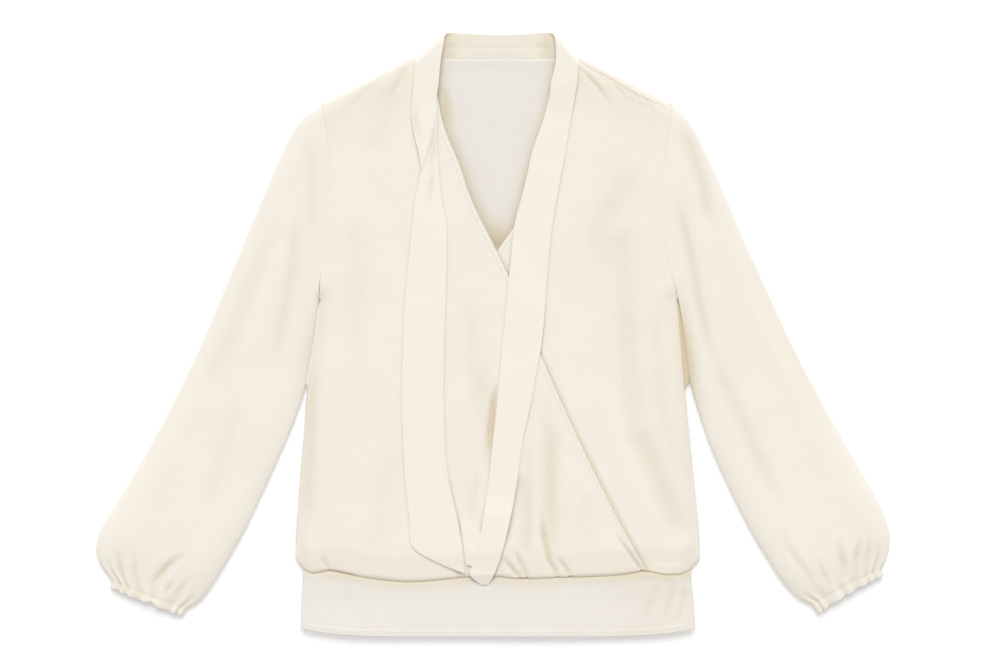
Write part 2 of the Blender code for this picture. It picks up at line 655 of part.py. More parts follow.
def band_grid():
    """Neck band: flat behind the neck, folded over a mitre at each corner and down both fronts."""
    reach = math.pi * BAND_FOLD_RADIUS / math.sqrt(2)
    half = {}
    for side in ("right", "left"):
        sign = -1.0 if side == "right" else 1.0
        lines = []
        for part in steps_between(0.0, 1.0, BAND_COLUMNS):
            corner_x = BAND_INNER_X[side] + (BAND_OUTER_X[side] - BAND_INNER_X[side]) * part
            corner_y = BAND_TOP_Y + (BAND_SEAM_Y - BAND_TOP_Y) * part
            top = TIE[side][0]
            end_x = top.inner_x + (top.outer_x - top.inner_x) * part
            middle_x = corner_x - sign * reach / 2
            middle_y = corner_y - reach / 2
            line = [(end_x, BAND_END_Y, BAND_Z + 2 * BAND_FOLD_RADIUS)]
            between = (corner_y - reach + BAND_END_Y) / 2
            line.append(((end_x + corner_x) / 2, between, BAND_Z + 2 * BAND_FOLD_RADIUS))
            for turn in steps_between(math.pi, 0.0, BAND_FOLD_STEPS):
                out = BAND_FOLD_RADIUS * math.sin(turn) / math.sqrt(2)
                slide = BAND_FOLD_RADIUS * (turn - math.pi / 2) / math.sqrt(2)
                x = middle_x + sign * (out + slide)
                y = middle_y + out - slide
                line.append((x, y, BAND_Z + BAND_FOLD_RADIUS * (1 - math.cos(turn))))
            start_x = line[-1][0]
            for fraction in (0.66, 0.33):
                dip = BAND_DIP * (1 - part) * (1 - fraction ** 2)
                line.append((start_x * fraction, corner_y - dip, BAND_Z))
            lines.append(line)
        half[side] = lines
    grid = []
    for right, left in zip(half["right"], half["left"]):
        middle = [(0.0, (right[-1][1] + left[-1][1]) / 2, BAND_Z)]
        grid.append(right + middle + left[::-1])
    return grid


def make_material(name, colour):
    """Plain matt cloth."""
    material = bpy.data.materials.new(name)
    material.use_nodes = True
    shader = material.node_tree.nodes["Principled BSDF"]
    shader.inputs["Base Color"].default_value = colour
    shader.inputs["Roughness"].default_value = ROUGHNESS
    shader.inputs["Metallic"].default_value = 0.0
    return material


def make_cloth(name, grid, wall, closed=False):
    """Object of a grid of points: a sheet, or a tube when closed, with a wall of even thickness."""
    points = np.array(grid, dtype=float)
    rows, columns = points.shape[:2]
    faces = []
    for row in range(rows - 1):
        for column in range(columns if closed else columns - 1):
            after = (column + 1) % columns
            a = row * columns + column
            b = row * columns + after
            faces.append((a, b, b + columns, a + columns))
    mesh = bpy.data.meshes.new(name)
    mesh.from_pydata((points.reshape(-1, 3) * MM).tolist(), [], faces)
    mesh.update()
    mesh.shade_smooth()
    mesh.materials.append(make_material("cloth_" + name, CREAM))
    cloth = bpy.data.objects.new(name, mesh)
    bpy.context.scene.collection.objects.link(cloth)
    solidify = cloth.modifiers.new("wall", "SOLIDIFY")
    solidify.thickness = wall * MM
    solidify.offset = 0.0
    return cloth


def clear_scene():
    """Remove what the file opens with."""
    for item in list(bpy.data.objects):
        bpy.data.objects.remove(item, do_unlink=True)


def main():
    """Build every piece of the blouse."""
    clear_scene()
    make_cloth("back", back_grid(), WALL)
    make_cloth("front_left", front_grid("left"), WALL)
    make_cloth("front_right", front_grid("right"), WALL)
    for side in ("right", "left"):
        make_cloth("sleeve_" + side, sleeve_grid(side), WALL, closed=True)
        make_cloth("cuff_" + side, cuff_grid(side), WALL, closed=True)
        make_cloth("tie_" + side, tie_grid(side), TIE_WALL)
    make_cloth("neck_band", band_grid(), TIE_WALL)
    make_cloth("tie_loop", loop_grid(), TIE_WALL)


main()
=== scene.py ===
"""Looks of the wrap-front blouse: thin crepe over the model's solids, its seams, folds and light.

Everything is worked out in millimetres in the part's own frame, +X to the wearer's left, +Y to the
neck and +Z up from the surface, and turned to metres where a mesh is made.
"""

import logging
import math
from dataclasses import dataclass, field
from enum import Enum
from typing import Callable, NamedTuple, Sequence

import bmesh
import bpy
import numpy as np
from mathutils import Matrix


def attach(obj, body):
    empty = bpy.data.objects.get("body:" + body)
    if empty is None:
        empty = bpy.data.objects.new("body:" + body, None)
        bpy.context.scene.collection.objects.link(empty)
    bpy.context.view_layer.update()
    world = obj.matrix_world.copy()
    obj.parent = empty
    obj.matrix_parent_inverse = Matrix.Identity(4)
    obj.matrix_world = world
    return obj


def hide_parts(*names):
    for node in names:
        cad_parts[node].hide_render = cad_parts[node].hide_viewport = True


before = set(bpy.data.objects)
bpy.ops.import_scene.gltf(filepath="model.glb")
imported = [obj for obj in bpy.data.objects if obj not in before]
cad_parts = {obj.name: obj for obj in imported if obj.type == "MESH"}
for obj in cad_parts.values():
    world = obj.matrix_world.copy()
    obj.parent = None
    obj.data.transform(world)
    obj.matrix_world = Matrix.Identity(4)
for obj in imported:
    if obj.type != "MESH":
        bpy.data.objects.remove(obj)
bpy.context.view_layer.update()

LOG = logging.getLogger("blouse")
MM = 0.001
BODY_NAME = "root"
# Point attribute that carries the painted shade, from 0 to 1, for the crepe finish
PAINTED_SHADE_ATTRIBUTE = "painted_shade_map"
SLIVER = 1e-6
TINY = 1e-12


class Side(Enum):
    """The wearer's side."""

    RIGHT = "right"
    LEFT = "left"

    @property
    def sign(self) -> float:
        """Direction of this side along X."""
        return -1.0 if self is Side.RIGHT else 1.0


class Slot(Enum):
    """Names of material slots."""

    CREPE = "crepe"
    CREPE_DOUBLE = "crepe_double"


class Edge(NamedTuple):
    """X of an edge at a height."""

    y: float
    x: float


class Level(NamedTuple):
    """Height of the top layer at a place down the body."""

    y: float
    z: float


class Hem(NamedTuple):
    """Point of the hem line."""

    x: float
    y: float


class Station(NamedTuple):
    """Both edges of a sleeve and its height, at one place along it."""

    outer_x: float
    outer_y: float
    inner_x: float
    inner_y: float
    height: float


class TieRow(NamedTuple):
    """Both edges of a tie at one place along it."""

    outer_x: float
    outer_y: float
    inner_x: float
    inner_y: float


class Fold(NamedTuple):
    """Soft trough of the body, much as the model's solids have it."""

    x0: float
    y0: float
    x1: float
    y1: float
    half_width: float
    depth: float


UNDERARM_Y = 42.0
SHOULDER_TIP_Y = 276.0
SHOULDER_NECK_Y = 332.0
HEM_BASE_Y = -276.0
TAIL_TOP_Y = -210.0
TAIL_Y = -362.2

SHOULDER = {
    Side.RIGHT: (Edge(SHOULDER_TIP_Y, -211.2), Edge(SHOULDER_NECK_Y, -102.0)),
    Side.LEFT: (Edge(SHOULDER_TIP_Y, 208.8), Edge(SHOULDER_NECK_Y, 99.5)),
}
ARMHOLE = {
    Side.RIGHT: (
        Edge(UNDERARM_Y, -214.0), Edge(78.0, -211.0), Edge(108.0, -205.2), Edge(150.0, -200.6),
        Edge(198.0, -200.4), Edge(246.0, -205.2), Edge(SHOULDER_TIP_Y, -211.2),
    ),
    Side.LEFT: (
        Edge(UNDERARM_Y, 216.0), Edge(78.0, 206.0), Edge(108.0, 199.6), Edge(150.0, 195.8),
        Edge(198.0, 197.4), Edge(246.0, 204.6), Edge(SHOULDER_TIP_Y, 208.8),
    ),
}
SIDE = {
    Side.RIGHT: (
        Edge(-300.0, -244.0), Edge(-258.0, -243.2), Edge(-210.0, -240.4), Edge(-162.0, -237.2),
        Edge(-114.0, -233.2), Edge(-66.0, -229.4), Edge(-30.0, -222.6), Edge(0.0, -216.8),
        Edge(UNDERARM_Y, -214.0),
    ),
    Side.LEFT: (
        Edge(-300.0, 243.6), Edge(-258.0, 242.2), Edge(-210.0, 238.8), Edge(-162.0, 234.2),
        Edge(-114.0, 229.4), Edge(-66.0, 224.8), Edge(-30.0, 221.6), Edge(0.0, 219.4),
        Edge(UNDERARM_Y, 216.0),
    ),
}
TAIL_SIDE = {
    Side.RIGHT: (
        Edge(TAIL_Y, -236.4), Edge(-325.0, -235.6), Edge(-286.0, -234.0), Edge(-250.0, -236.0),
        Edge(TAIL_TOP_Y, -239.2),
    ),
    Side.LEFT: (
        Edge(TAIL_Y, 236.4), Edge(-325.0, 234.4), Edge(-286.0, 231.6), Edge(-250.0, 234.6),
        Edge(TAIL_TOP_Y, 237.6),
    ),
}
FRONT_EDGE = {
    Side.RIGHT: (
        Edge(-300.0, 190.0), Edge(-283.2, 180.0), Edge(-222.0, 146.4), Edge(-114.0, 92.4),
        Edge(-24.0, 51.6), Edge(69.6, 13.2), Edge(102.0, -2.4), Edge(163.2, -32.4),
        Edge(205.2, -46.8), Edge(249.6, -64.8), Edge(283.2, -72.0), Edge(332.0, -76.0),
    ),
    Side.LEFT: (
        Edge(-300.0, -190.0), Edge(-222.0, -146.4), Edge(-114.0, -92.4), Edge(-24.0, -51.6),
        Edge(69.6, -15.6), Edge(102.0, 0.0), Edge(132.0, 20.4), Edge(150.0, 28.0),
        Edge(204.0, 42.0), Edge(246.0, 54.0), Edge(288.0, 66.0), Edge(332.0, 76.0),
    ),
}
HEM_LINE = (
    Hem(-244.0, -268.0), Hem(-234.0, -281.0), Hem(-200.0, -284.0), Hem(-177.6, -288.4),
    Hem(-141.6, -294.0), Hem(-105.6, -296.8), Hem(-69.6, -294.4), Hem(-36.0, -291.0),
    Hem(-2.4, -290.4), Hem(26.4, -293.4), Hem(56.4, -292.4), Hem(98.4, -291.0),
    Hem(146.4, -288.4), Hem(180.0, -284.4), Hem(206.4, -288.4), Hem(230.4, -282.6),
    Hem(244.0, -268.0),
)
LEVELS = (
    Level(-200.0, 10.2), Level(-100.0, 10.9), Level(0.0, 10.8), Level(150.0, 10.2),
    Level(270.0, 8.2), Level(332.0, 7.0),
)
FOLDS = (
    Fold(148.0, 126.0, 152.0, 30.0, 13.0, 1.8),
    Fold(152.0, 44.0, 164.0, -116.0, 14.0, 2.4),
    Fold(160.0, -104.0, 222.0, -246.0, 14.0, 3.0),
    Fold(66.0, -110.0, 64.0, -270.0, 9.0, 2.8),
    Fold(30.0, -170.0, 33.0, -272.0, 7.0, 2.0),
    Fold(108.0, -190.0, 100.0, -272.0, 9.0, 0.8),
    Fold(-20.0, -40.0, -6.0, -170.0, 9.0, 1.8),
    Fold(-222.0, -40.0, -228.0, -230.0, 10.0, 2.4),
    Fold(-126.0, -150.0, -150.0, -270.0, 12.0, 1.0),
    Fold(-124.0, 290.0, -150.0, 210.0, 14.0, 1.2),
)
SLEEVE = {
    Side.RIGHT: (
        Station(-211.2, 276.0, -214.0, 42.0, 8.0),
        Station(-238.8, 254.4, -216.2, 24.0, 9.0),
        Station(-261.6, 212.4, -219.4, -2.0, 9.6),
        Station(-283.2, 162.0, -224.8, -32.0, 10.0),
        Station(-303.6, 114.0, -232.4, -68.0, 10.4),
        Station(-327.6, 56.4, -244.8, -104.0, 11.0),
        Station(-354.0, -6.0, -259.2, -138.0, 12.0),
        Station(-388.8, -78.0, -280.8, -186.0, 14.0),
        Station(-427.2, -150.0, -303.6, -234.0, 17.0),
        Station(-456.0, -198.0, -324.0, -270.0, 19.0),
        Station(-475.2, -229.2, -338.4, -294.0, 19.0),
        Station(-483.0, -254.4, -349.2, -309.6, 16.0),
        Station(-479.4, -272.4, -358.8, -320.4, 12.5),
        Station(-465.6, -293.4, -372.6, -329.4, 10.0),
        Station(-466.2, -302.0, -378.4, -337.0, 9.0),
    ),
    Side.LEFT: (
        Station(208.8, 276.0, 216.0, 42.0, 8.0),
        Station(230.4, 253.2, 218.8, 24.0, 9.0),
        Station(252.0, 212.4, 221.8, -2.0, 9.6),
        Station(274.8, 162.0, 225.6, -32.0, 10.0),
        Station(295.2, 114.0, 232.6, -66.0, 10.4),
        Station(321.6, 56.4, 244.0, -102.0, 11.0),
        Station(350.4, -6.0, 256.8, -138.0, 12.0),
        Station(387.6, -78.0, 278.4, -186.0, 14.0),
        Station(428.4, -150.0, 302.4, -234.0, 17.0),
        Station(456.0, -198.0, 324.0, -270.0, 19.0),
        Station(469.2, -231.6, 339.6, -294.0, 19.0),
        Station(470.4, -252.0, 352.8, -309.6, 16.0),
        Station(467.4, -266.4, 364.8, -318.6, 12.5),
        Station(461.6, -280.4, 376.2, -325.2, 10.0),
        Station(463.0, -288.0, 383.6, -335.0, 9.0),
    ),
}
CUFF_STATION = 13
CUFF_BOW = {Side.RIGHT: 1.5, Side.LEFT: -2.0}
TIE = {
    Side.RIGHT: (
        TieRow(-100.2, 306.0, -71.4, 306.0), TieRow(-102.6, 286.0, -73.2, 286.0),
        TieRow(-103.8, 262.0, -73.0, 262.0), TieRow(-100.8, 240.0, -72.6, 240.0),
        TieRow(-96.0, 221.0, -72.2, 221.0), TieRow(-92.4, 200.0, -71.0, 200.0),
        TieRow(-94.8, 184.0, -69.6, 184.0), TieRow(-99.6, 162.0, -67.4, 162.0),
        TieRow(-103.2, 128.0, -61.4, 130.0), TieRow(-107.6, 84.0, -61.4, 84.0),
        TieRow(-111.6, 42.0, -62.4, 42.0), TieRow(-114.0, -6.0, -64.0, -6.0),
        TieRow(-115.2, -78.0, -64.8, -78.0), TieRow(-112.8, -156.0, -61.8, -156.0),
        TieRow(-106.6, -222.0, -48.0, -224.4), TieRow(-102.0, -255.0, -42.6, -258.0),
        TieRow(-66.0, -276.0, -39.5, -287.0),
    ),
    Side.LEFT: (
        TieRow(94.8, 306.0, 64.8, 306.0), TieRow(92.4, 285.0, 61.2, 285.6),
        TieRow(87.6, 258.0, 54.0, 258.0), TieRow(81.6, 222.0, 41.0, 219.6),
        TieRow(73.2, 176.4, 31.2, 176.4), TieRow(66.0, 135.6, 20.4, 135.6),
        TieRow(61.2, 92.4, 15.6, 94.8), TieRow(54.5, 8.4, 7.2, 8.4),
        TieRow(49.4, -28.8, 3.6, -28.8), TieRow(39.4, -82.8, -1.2, -82.8),
        TieRow(29.3, -129.6, -6.6, -129.6), TieRow(23.8, -171.6, -10.8, -171.6),
        TieRow(15.6, -217.2, -17.4, -217.2), TieRow(4.1, -264.0, -25.2, -264.0),
        TieRow(-5.0, -288.0, -34.0, -286.0), TieRow(-11.5, -299.5, -20.5, -300.0),
    ),
}
LOOP = (
    TieRow(-46.0, -221.5, -10.0, -243.0), TieRow(-43.6, -240.0, -12.0, -252.0),
    TieRow(-40.8, -262.0, -20.0, -268.0), TieRow(-38.6, -276.0, -27.0, -279.0),
)
BAND_INNER_X = {Side.RIGHT: -65.0, Side.LEFT: 69.0}
BAND_OUTER_X = {Side.RIGHT: -99.0, Side.LEFT: 96.0}
BAND_BOW = {Side.RIGHT: 1.0, Side.LEFT: 3.0}


@dataclass(frozen=True)
class Crease:
    """A crease or soft fold along a line of points; a depth below zero stands up as a ridge."""

    points: tuple[tuple[float, float], ...]
    half_width: float
    depth: float
    taper: float = 0.25

    def relief(self, x: np.ndarray, y: np.ndarray) -> np.ndarray:
        """Change of height that the crease makes.

        Args:
            x: X of the places.
            y: Y of the places.

        Returns:
            The height to add, below zero in a trough.
        """
        nearest = np.full(x.shape, np.inf)
        along = np.zeros(x.shape)
        pairs = list(zip(self.points[:-1], self.points[1:]))
        total = sum(math.dist(start, end) for start, end in pairs)
        run = 0.0
        for start, end in pairs:
            length = math.dist(start, end)
            step_x, step_y = end[0] - start[0], end[1] - start[1]
            t = np.clip(((x - start[0]) * step_x + (y - start[1]) * step_y) / length ** 2, 0, 1)
            away = (x - start[0] - step_x * t) ** 2 + (y - start[1] - step_y * t) ** 2
            along = np.where(away < nearest, (run + t * length) / total, along)
            nearest = np.minimum(nearest, away)
            run += length
        ends = np.minimum(along, 1 - along) / self.taper
        return -self.depth * smooth_step(ends) * np.exp(-nearest / self.half_width ** 2)


# Finer creases of the body's top layer
BODY_CREASES = (
    # gathers at the lower edge, beside the left tie
    Crease(((4.0, -264.0), (16.0, -280.0), (36.0, -300.0)), 2.4, 2.8, 0.3),
    Crease(((18.0, -256.0), (29.0, -277.0), (40.0, -306.0)), 2.4, 3.0, 0.3),
    Crease(((50.0, -206.0), (56.0, -248.0), (62.0, -272.0), (80.0, -306.0)), 3.0, 3.8, 0.35),
    Crease(((68.0, -262.0), (82.0, -282.0), (98.0, -304.0)), 2.6, 2.4, 0.3),
    Crease(((140.0, -236.0), (150.0, -252.0), (167.0, -276.0), (190.0, -304.0)), 2.6, 2.6, 0.3),
    Crease(((56.0, -70.0), (60.0, -150.0), (62.0, -240.0)), 7.0, 0.9),
    Crease(((37.0, -120.0), (38.0, -200.0), (34.0, -276.0)), 5.0, 1.0),
    Crease(((78.0, -130.0), (84.0, -200.0), (84.0, -262.0)), 6.0, -0.9),
    # pinched wedge and troughs beside the ties
    Crease(((-1.0, -50.0), (-6.0, -84.0), (-8.5, -114.0), (-11.0, -152.0)), 3.2, 5.4, 0.4),
    Crease(((27.0, -160.0), (18.0, -214.0), (4.0, -262.0)), 3.4, 1.8),
    Crease(((-60.0, -170.0), (-56.0, -200.0), (-42.0, -246.0)), 3.0, 1.6),
    Crease(((-24.0, -160.0), (-30.0, -200.0), (-34.0, -232.0)), 4.0, 1.2),
    # small lobes and tucks along the lower edge
    Crease(((-214.0, -262.0), (-204.0, -280.0), (-194.0, -300.0)), 3.0, 1.8),
    Crease(((-204.0, -280.0), (-184.0, -285.0), (-166.0, -290.0)), 2.4, 1.6),
    Crease(((186.0, -276.0), (206.0, -280.0), (226.0, -276.0)), 3.4, -1.0),
    Crease(((-60.0, -250.0), (-52.0, -270.0), (-44.0, -296.0)), 3.0, 1.6),
    # broad soft folds below the left shoulder and down the side
    Crease(((172.0, 206.0), (140.0, 160.0), (120.0, 122.0), (132.0, 60.0)), 16.0, 1.3),
    Crease(((196.0, 60.0), (190.0, 0.0), (196.0, -90.0), (222.0, -190.0)), 10.0, 0.9),
    Crease(((120.0, -40.0), (136.0, -120.0), (170.0, -200.0), (200.0, -250.0)), 12.0, -1.0),
    Crease(((-196.0, 20.0), (-204.0, -100.0), (-206.0, -220.0)), 12.0, -0.9),
    Crease(((-170.0, 150.0), (-168.0, 60.0), (-176.0, -40.0)), 14.0, 0.7),
    Crease(((-36.0, 60.0), (-30.0, -20.0), (-26.0, -120.0)), 9.0, 0.8),
    Crease(((-44.0, -40.0), (-40.0, -130.0), (-34.0, -200.0)), 7.0, -0.6),
    # pulls from the shoulders
    Crease(((-108.0, 326.0), (-118.0, 306.0), (-132.0, 280.0)), 4.5, 1.3),
    Crease(((-140.0, 304.0), (-160.0, 290.0), (-184.0, 270.0)), 5.0, 0.8),
    Crease(((90.0, 324.0), (104.0, 315.0), (124.0, 292.0), (138.0, 268.0)), 3.4, 1.8, 0.4),
    Crease(((112.0, 316.0), (134.0, 304.0), (156.0, 288.0)), 4.0, 0.9),
    Crease(((140.0, 302.0), (149.0, 291.0), (154.0, 277.0)), 2.2, 1.2),
    Crease(((151.0, 297.0), (160.0, 287.0), (166.0, 274.0)), 2.2, 1.3),
    Crease(((162.0, 292.0), (170.0, 282.0), (178.0, 269.0)), 2.2, 1.2),
    Crease(((174.0, 286.0), (182.0, 276.0), (190.0, 263.0)), 2.2, 1.0),
)

# A line that keeps its strength almost to its ends
EVEN_TAPER = 0.02

# Seam of the shoulder, which lies forward of the fold on the wearer's left
SHOULDER_SEAM = Crease(
    ((94.8, 332.0), (106.8, 320.4), (129.6, 309.6), (168.0, 286.8), (204.0, 270.0)), 1.6, 0.9, EVEN_TAPER,
)

# Lines of painted shade beside the ties, the wrap's edge, the hem and the V's edges
CONTACT_WIDTH = 2.4
HEM_CONTACT_WIDTH = 8.5
NECK_CONTACT_WIDTH = 9.0
NECK_CONTACT_LOW_Y = 90.0


def contact_line(points: Sequence[tuple[float, float]], half_width: float) -> Crease:
    """Line of painted shade where an upper layer ends, on the cloth beside it."""
    return Crease(tuple(points), half_width, 1.0, EVEN_TAPER)


TIE_LINES = tuple(
    contact_line(line, CONTACT_WIDTH)
    for rows in TIE.values()
    for line in ([(row.outer_x, row.outer_y) for row in rows], [(row.inner_x, row.inner_y) for row in rows])
)
WRAP_LINE = contact_line([(edge.x, edge.y) for edge in FRONT_EDGE[Side.RIGHT]], CONTACT_WIDTH)
HEM_CONTACT = contact_line([(point.x, point.y) for point in HEM_LINE], HEM_CONTACT_WIDTH)
NECK_LINES = tuple(
    contact_line([(edge.x, edge.y) for edge in edges if edge.y > NECK_CONTACT_LOW_Y], NECK_CONTACT_WIDTH)
    for edges in FRONT_EDGE.values()
)


def smooth_values(knots: Sequence[float], values: Sequence, at: np.ndarray) -> np.ndarray:
    """Read a smooth curve through given values.

    Args:
        knots: Places of the given values, rising.
        values: One value, or one row of values, at each place.
        at: Places to read.

    Returns:
        The values there, with a last axis more where the given ones are rows.
    """
    knots = np.asarray(knots, dtype=float)
    values = np.asarray(values, dtype=float)
    at = np.clip(np.asarray(at, dtype=float), knots[0], knots[-1])
    slopes = np.gradient(values, knots, axis=0)
    i = np.clip(np.searchsorted(knots, at, side="right") - 1, 0, len(knots) - 2)
    span = knots[i + 1] - knots[i]
    t = (at - knots[i]) / span
    if values.ndim > 1:
        span, t = span[..., None], t[..., None]
    ease = 3 * t ** 2 - 2 * t ** 3
    start = (t ** 3 - 2 * t ** 2 + t) * span
    end = (t ** 3 - t ** 2) * span
    return (1 - ease) * values[i] + start * slopes[i] + ease * values[i + 1] + end * slopes[i + 1]


def read(table: Sequence[NamedTuple], at: np.ndarray, key: str, value: str) -> np.ndarray:
    """Smooth reading of one column of a table by another.

    Args:
        table: Rows of a table.
        at: Places to read.
        key: Name of the column to look in.
        value: Name of the column to read.

    Returns:
        The values there.
    """
    rows = sorted(table, key=lambda row: getattr(row, key))
    knots = [getattr(row, key) for row in rows]
    return smooth_values(knots, [getattr(row, value) for row in rows], at)


def smooth_step(value: np.ndarray) -> np.ndarray:
    """0 below 0, 1 above 1 and a soft ramp between."""
    t = np.clip(value, 0.0, 1.0)
    return t * t * (3 - 2 * t)


def ramp(value: float) -> float:
    """Soft ramp of a single number."""
    return float(smooth_step(np.array(value)))


def bump(distance: np.ndarray | float, width: float) -> np.ndarray:
    """1 at no distance, falling softly to 0 over about twice the width."""
    return np.exp(-(distance / width) ** 2)


def rounded(distance: np.ndarray, width: float) -> np.ndarray:
    """Rise of a rounded edge: 0 at the edge, 1 at the given width from it."""
    t = np.clip(distance / width, 0.0, 1.0)
    return np.sqrt(1 - (1 - t) ** 2)


def end_weighted(count: int, weight: float = 0.6) -> np.ndarray:
    """Fractions from 0 to 1 that lie closer together near both ends."""
    t = np.linspace(0.0, 1.0, count)
    return (1 - weight) * t + weight * (0.5 - 0.5 * np.cos(math.pi * t))


def fold_relief(x: np.ndarray, y: np.ndarray) -> np.ndarray:
    """Depth of the body's soft troughs at places, never above zero.

    Args:
        x: X of the places.
        y: Y of the places.

    Returns:
        The height to add, below zero in a trough.
    """
    depth = np.zeros(x.shape)
    for fold in FOLDS:
        run_x, run_y = fold.x1 - fold.x0, fold.y1 - fold.y0
        length = math.hypot(run_x, run_y)
        away_x, away_y = x - fold.x0, y - fold.y0
        along = (away_x * run_x + away_y * run_y) / length ** 2
        across = (away_x * run_y - away_y * run_x) / length
        taper = smooth_step((0.5 - np.abs(along - 0.5)) / 0.25 + 0.25)
        depth -= fold.depth * taper * np.exp(-(across / fold.half_width) ** 2)
    return depth


def crease_relief(creases: Sequence[Crease], x: np.ndarray, y: np.ndarray) -> np.ndarray:
    """Sum of what a list of creases adds to the height."""
    return sum((crease.relief(x, y) for crease in creases), np.zeros(x.shape))


@dataclass(frozen=True)
class Crinkle:
    """Uneven lie of the cloth: soft hills of a few sizes, the same in each run."""

    seed: int
    sizes: tuple[float, ...] = (46.0, 19.0, 8.0)
    heights: tuple[float, ...] = (0.34, 0.16, 0.07)
    span: float = 1300.0

    def relief(self, x: np.ndarray, y: np.ndarray) -> np.ndarray:
        """Height of the hills at places, on both sides of zero.

        Args:
            x: X of the places.
            y: Y of the places.

        Returns:
            The height to add.
        """
        dice = np.random.default_rng(self.seed)
        total = np.zeros(x.shape)
        for size, height in zip(self.sizes, self.heights):
            count = int(self.span / size) + 3
            lattice = dice.uniform(-1.0, 1.0, (count, count))
            u = np.clip((x + self.span / 2) / size, 0, count - 2)
            v = np.clip((y + self.span / 2) / size, 0, count - 2)
            i, j = u.astype(int), v.astype(int)
            s, t = smooth_step(u - i), smooth_step(v - j)
            near = lattice[i, j] * (1 - s) + lattice[i + 1, j] * s
            far = lattice[i, j + 1] * (1 - s) + lattice[i + 1, j + 1] * s
            total += height * (near * (1 - t) + far * t)
        return total


@dataclass(frozen=True)
class BodyForm:
    """Outline and heights of the body's layers, on the form of the model's solids."""

    wall: float = 1.5
    back_z: float = 0.75
    seam_z: float = 2.2
    return_z: float = 2.7
    layer: float = 2.2
    hidden_drop: float = 2.4
    hidden_blend: float = 16.0
    side_round: float = 22.0
    shoulder_round: float = 16.0
    neck_round: float = 26.0
    roll: float = 2.2
    roll_reach: float = 2.2
    roll_least: float = 1.3
    roll_taper: float = 34.0
    hem_puff: float = 28.0
    wrap_fade: float = 60.0
    crease_side_room: float = 12.0
    crease_shoulder_room: float = 5.0

    def edge_x(self, side: Side, y: np.ndarray) -> np.ndarray:
        """X of the body's outline: shoulder, armhole, then side seam.

        Args:
            side: The wearer's side.
            y: Y of the places.

        Returns:
            The X there.
        """
        tip, neck = SHOULDER[side]
        shoulder = tip.x + (neck.x - tip.x) * (y - tip.y) / (neck.y - tip.y)
        armhole = read(ARMHOLE[side], y, "y", "x")
        low = read(SIDE[side], y, "y", "x")
        return np.where(y >= SHOULDER_TIP_Y, shoulder, np.where(y >= UNDERARM_Y, armhole, low))

    def _by_side(self, x: np.ndarray, reading: Callable[[Side], np.ndarray]) -> np.ndarray:
        """Value of the side that each place lies on."""
        return np.where(x < 0, reading(Side.RIGHT), reading(Side.LEFT))

    def neck_distance(self, x: np.ndarray, y: np.ndarray) -> np.ndarray:
        """Distance from the nearer neck end of the shoulder seam."""
        return self._by_side(x, lambda side: np.hypot(x - SHOULDER[side][1].x, y - SHOULDER[side][1].y))

    def shoulder_distance(self, x: np.ndarray, y: np.ndarray) -> np.ndarray:
        """Distance from the nearer shoulder line.

        Args:
            x: X of the places.
            y: Y of the places.

        Returns:
            The distances.
        """

        def one(side: Side) -> np.ndarray:
            """Distance from one shoulder line.

            Args:
                side: The wearer's side.

            Returns:
                The distances.
            """
            tip, neck = SHOULDER[side]
            length = math.dist(tip, neck)
            cross = (x - tip.x) * (neck.y - tip.y) - (y - tip.y) * (neck.x - tip.x)
            return np.abs(cross) / length

        return self._by_side(x, one)

    def side_distance(self, x: np.ndarray, y: np.ndarray) -> np.ndarray:
        """Distance from the side seam; above the underarm, from the underarm itself.

        Args:
            x: X of the places.
            y: Y of the places.

        Returns:
            The distances.
        """

        def one(side: Side) -> np.ndarray:
            """Distance from one side.

            Args:
                side: The wearer's side.

            Returns:
                The distances.
            """
            corner = self.edge_x(side, np.array(UNDERARM_Y))
            low = np.abs(self.edge_x(side, np.minimum(y, UNDERARM_Y - SLIVER)) - x)
            return np.where(y < UNDERARM_Y, low, np.hypot(x - corner, y - UNDERARM_Y))

        return self._by_side(x, one)

    def roll_radius(self, x: np.ndarray) -> np.ndarray:
        """Radius of the rolled lower edge, small at the side seams.

        Args:
            x: X of the places.

        Returns:
            The radius at each place.
        """
        base = np.array(HEM_BASE_Y)
        left = rounded(x - self.edge_x(Side.RIGHT, base), self.roll_taper)
        right = rounded(self.edge_x(Side.LEFT, base) - x, self.roll_taper)
        return self.roll_least + (self.roll - self.roll_least) * left * right

    def roll_centre_y(self, x: np.ndarray) -> np.ndarray:
        """Y of the roll's centre, so that its outside reaches the hem line."""
        return read(HEM_LINE, x, "x", "y") + self.roll_reach * self.roll_radius(x) + self.wall / 2

    def top_height(self, x: np.ndarray, y: np.ndarray) -> np.ndarray:
        """Height of the middle of the top layer, without its folds.

        Args:
            x: X of the places.
            y: Y of the places.

        Returns:
            The heights.
        """
        level = read(LEVELS, y, "y", "z")
        rise = rounded(self.side_distance(x, y), self.side_round)
        rise = rise * rounded(self.shoulder_distance(x, y), self.shoulder_round)
        rise = rise * rounded(self.neck_distance(x, y), self.neck_round)
        upper = self.seam_z + (level - self.seam_z) * rise
        puff = smooth_step((self.roll_centre_y(x) + self.hem_puff - y) / self.hem_puff)
        return upper + (self.return_z + 2 * self.roll_radius(x) - upper) * puff

    def hidden_part(self, x: np.ndarray, y: np.ndarray) -> np.ndarray:
        """1 where the under front is well below the over front, 0 where it shows."""
        return smooth_step((read(FRONT_EDGE[Side.RIGHT], y, "y", "x") - x) / self.hidden_blend)

    def under_depth(self, x: np.ndarray, y: np.ndarray) -> np.ndarray:
        """How far the under front lies below the top layer, fading out to its seams.

        Args:
            x: X of the places.
            y: Y of the places.

        Returns:
            The depths.
        """
        fade = smooth_step((self.edge_x(Side.LEFT, np.minimum(y, SHOULDER_TIP_Y)) - x) / self.wrap_fade)
        fade = fade * smooth_step(self.shoulder_distance(x, y) / self.wrap_fade)
        return fade * (self.layer + self.hidden_drop * self.hidden_part(x, y))

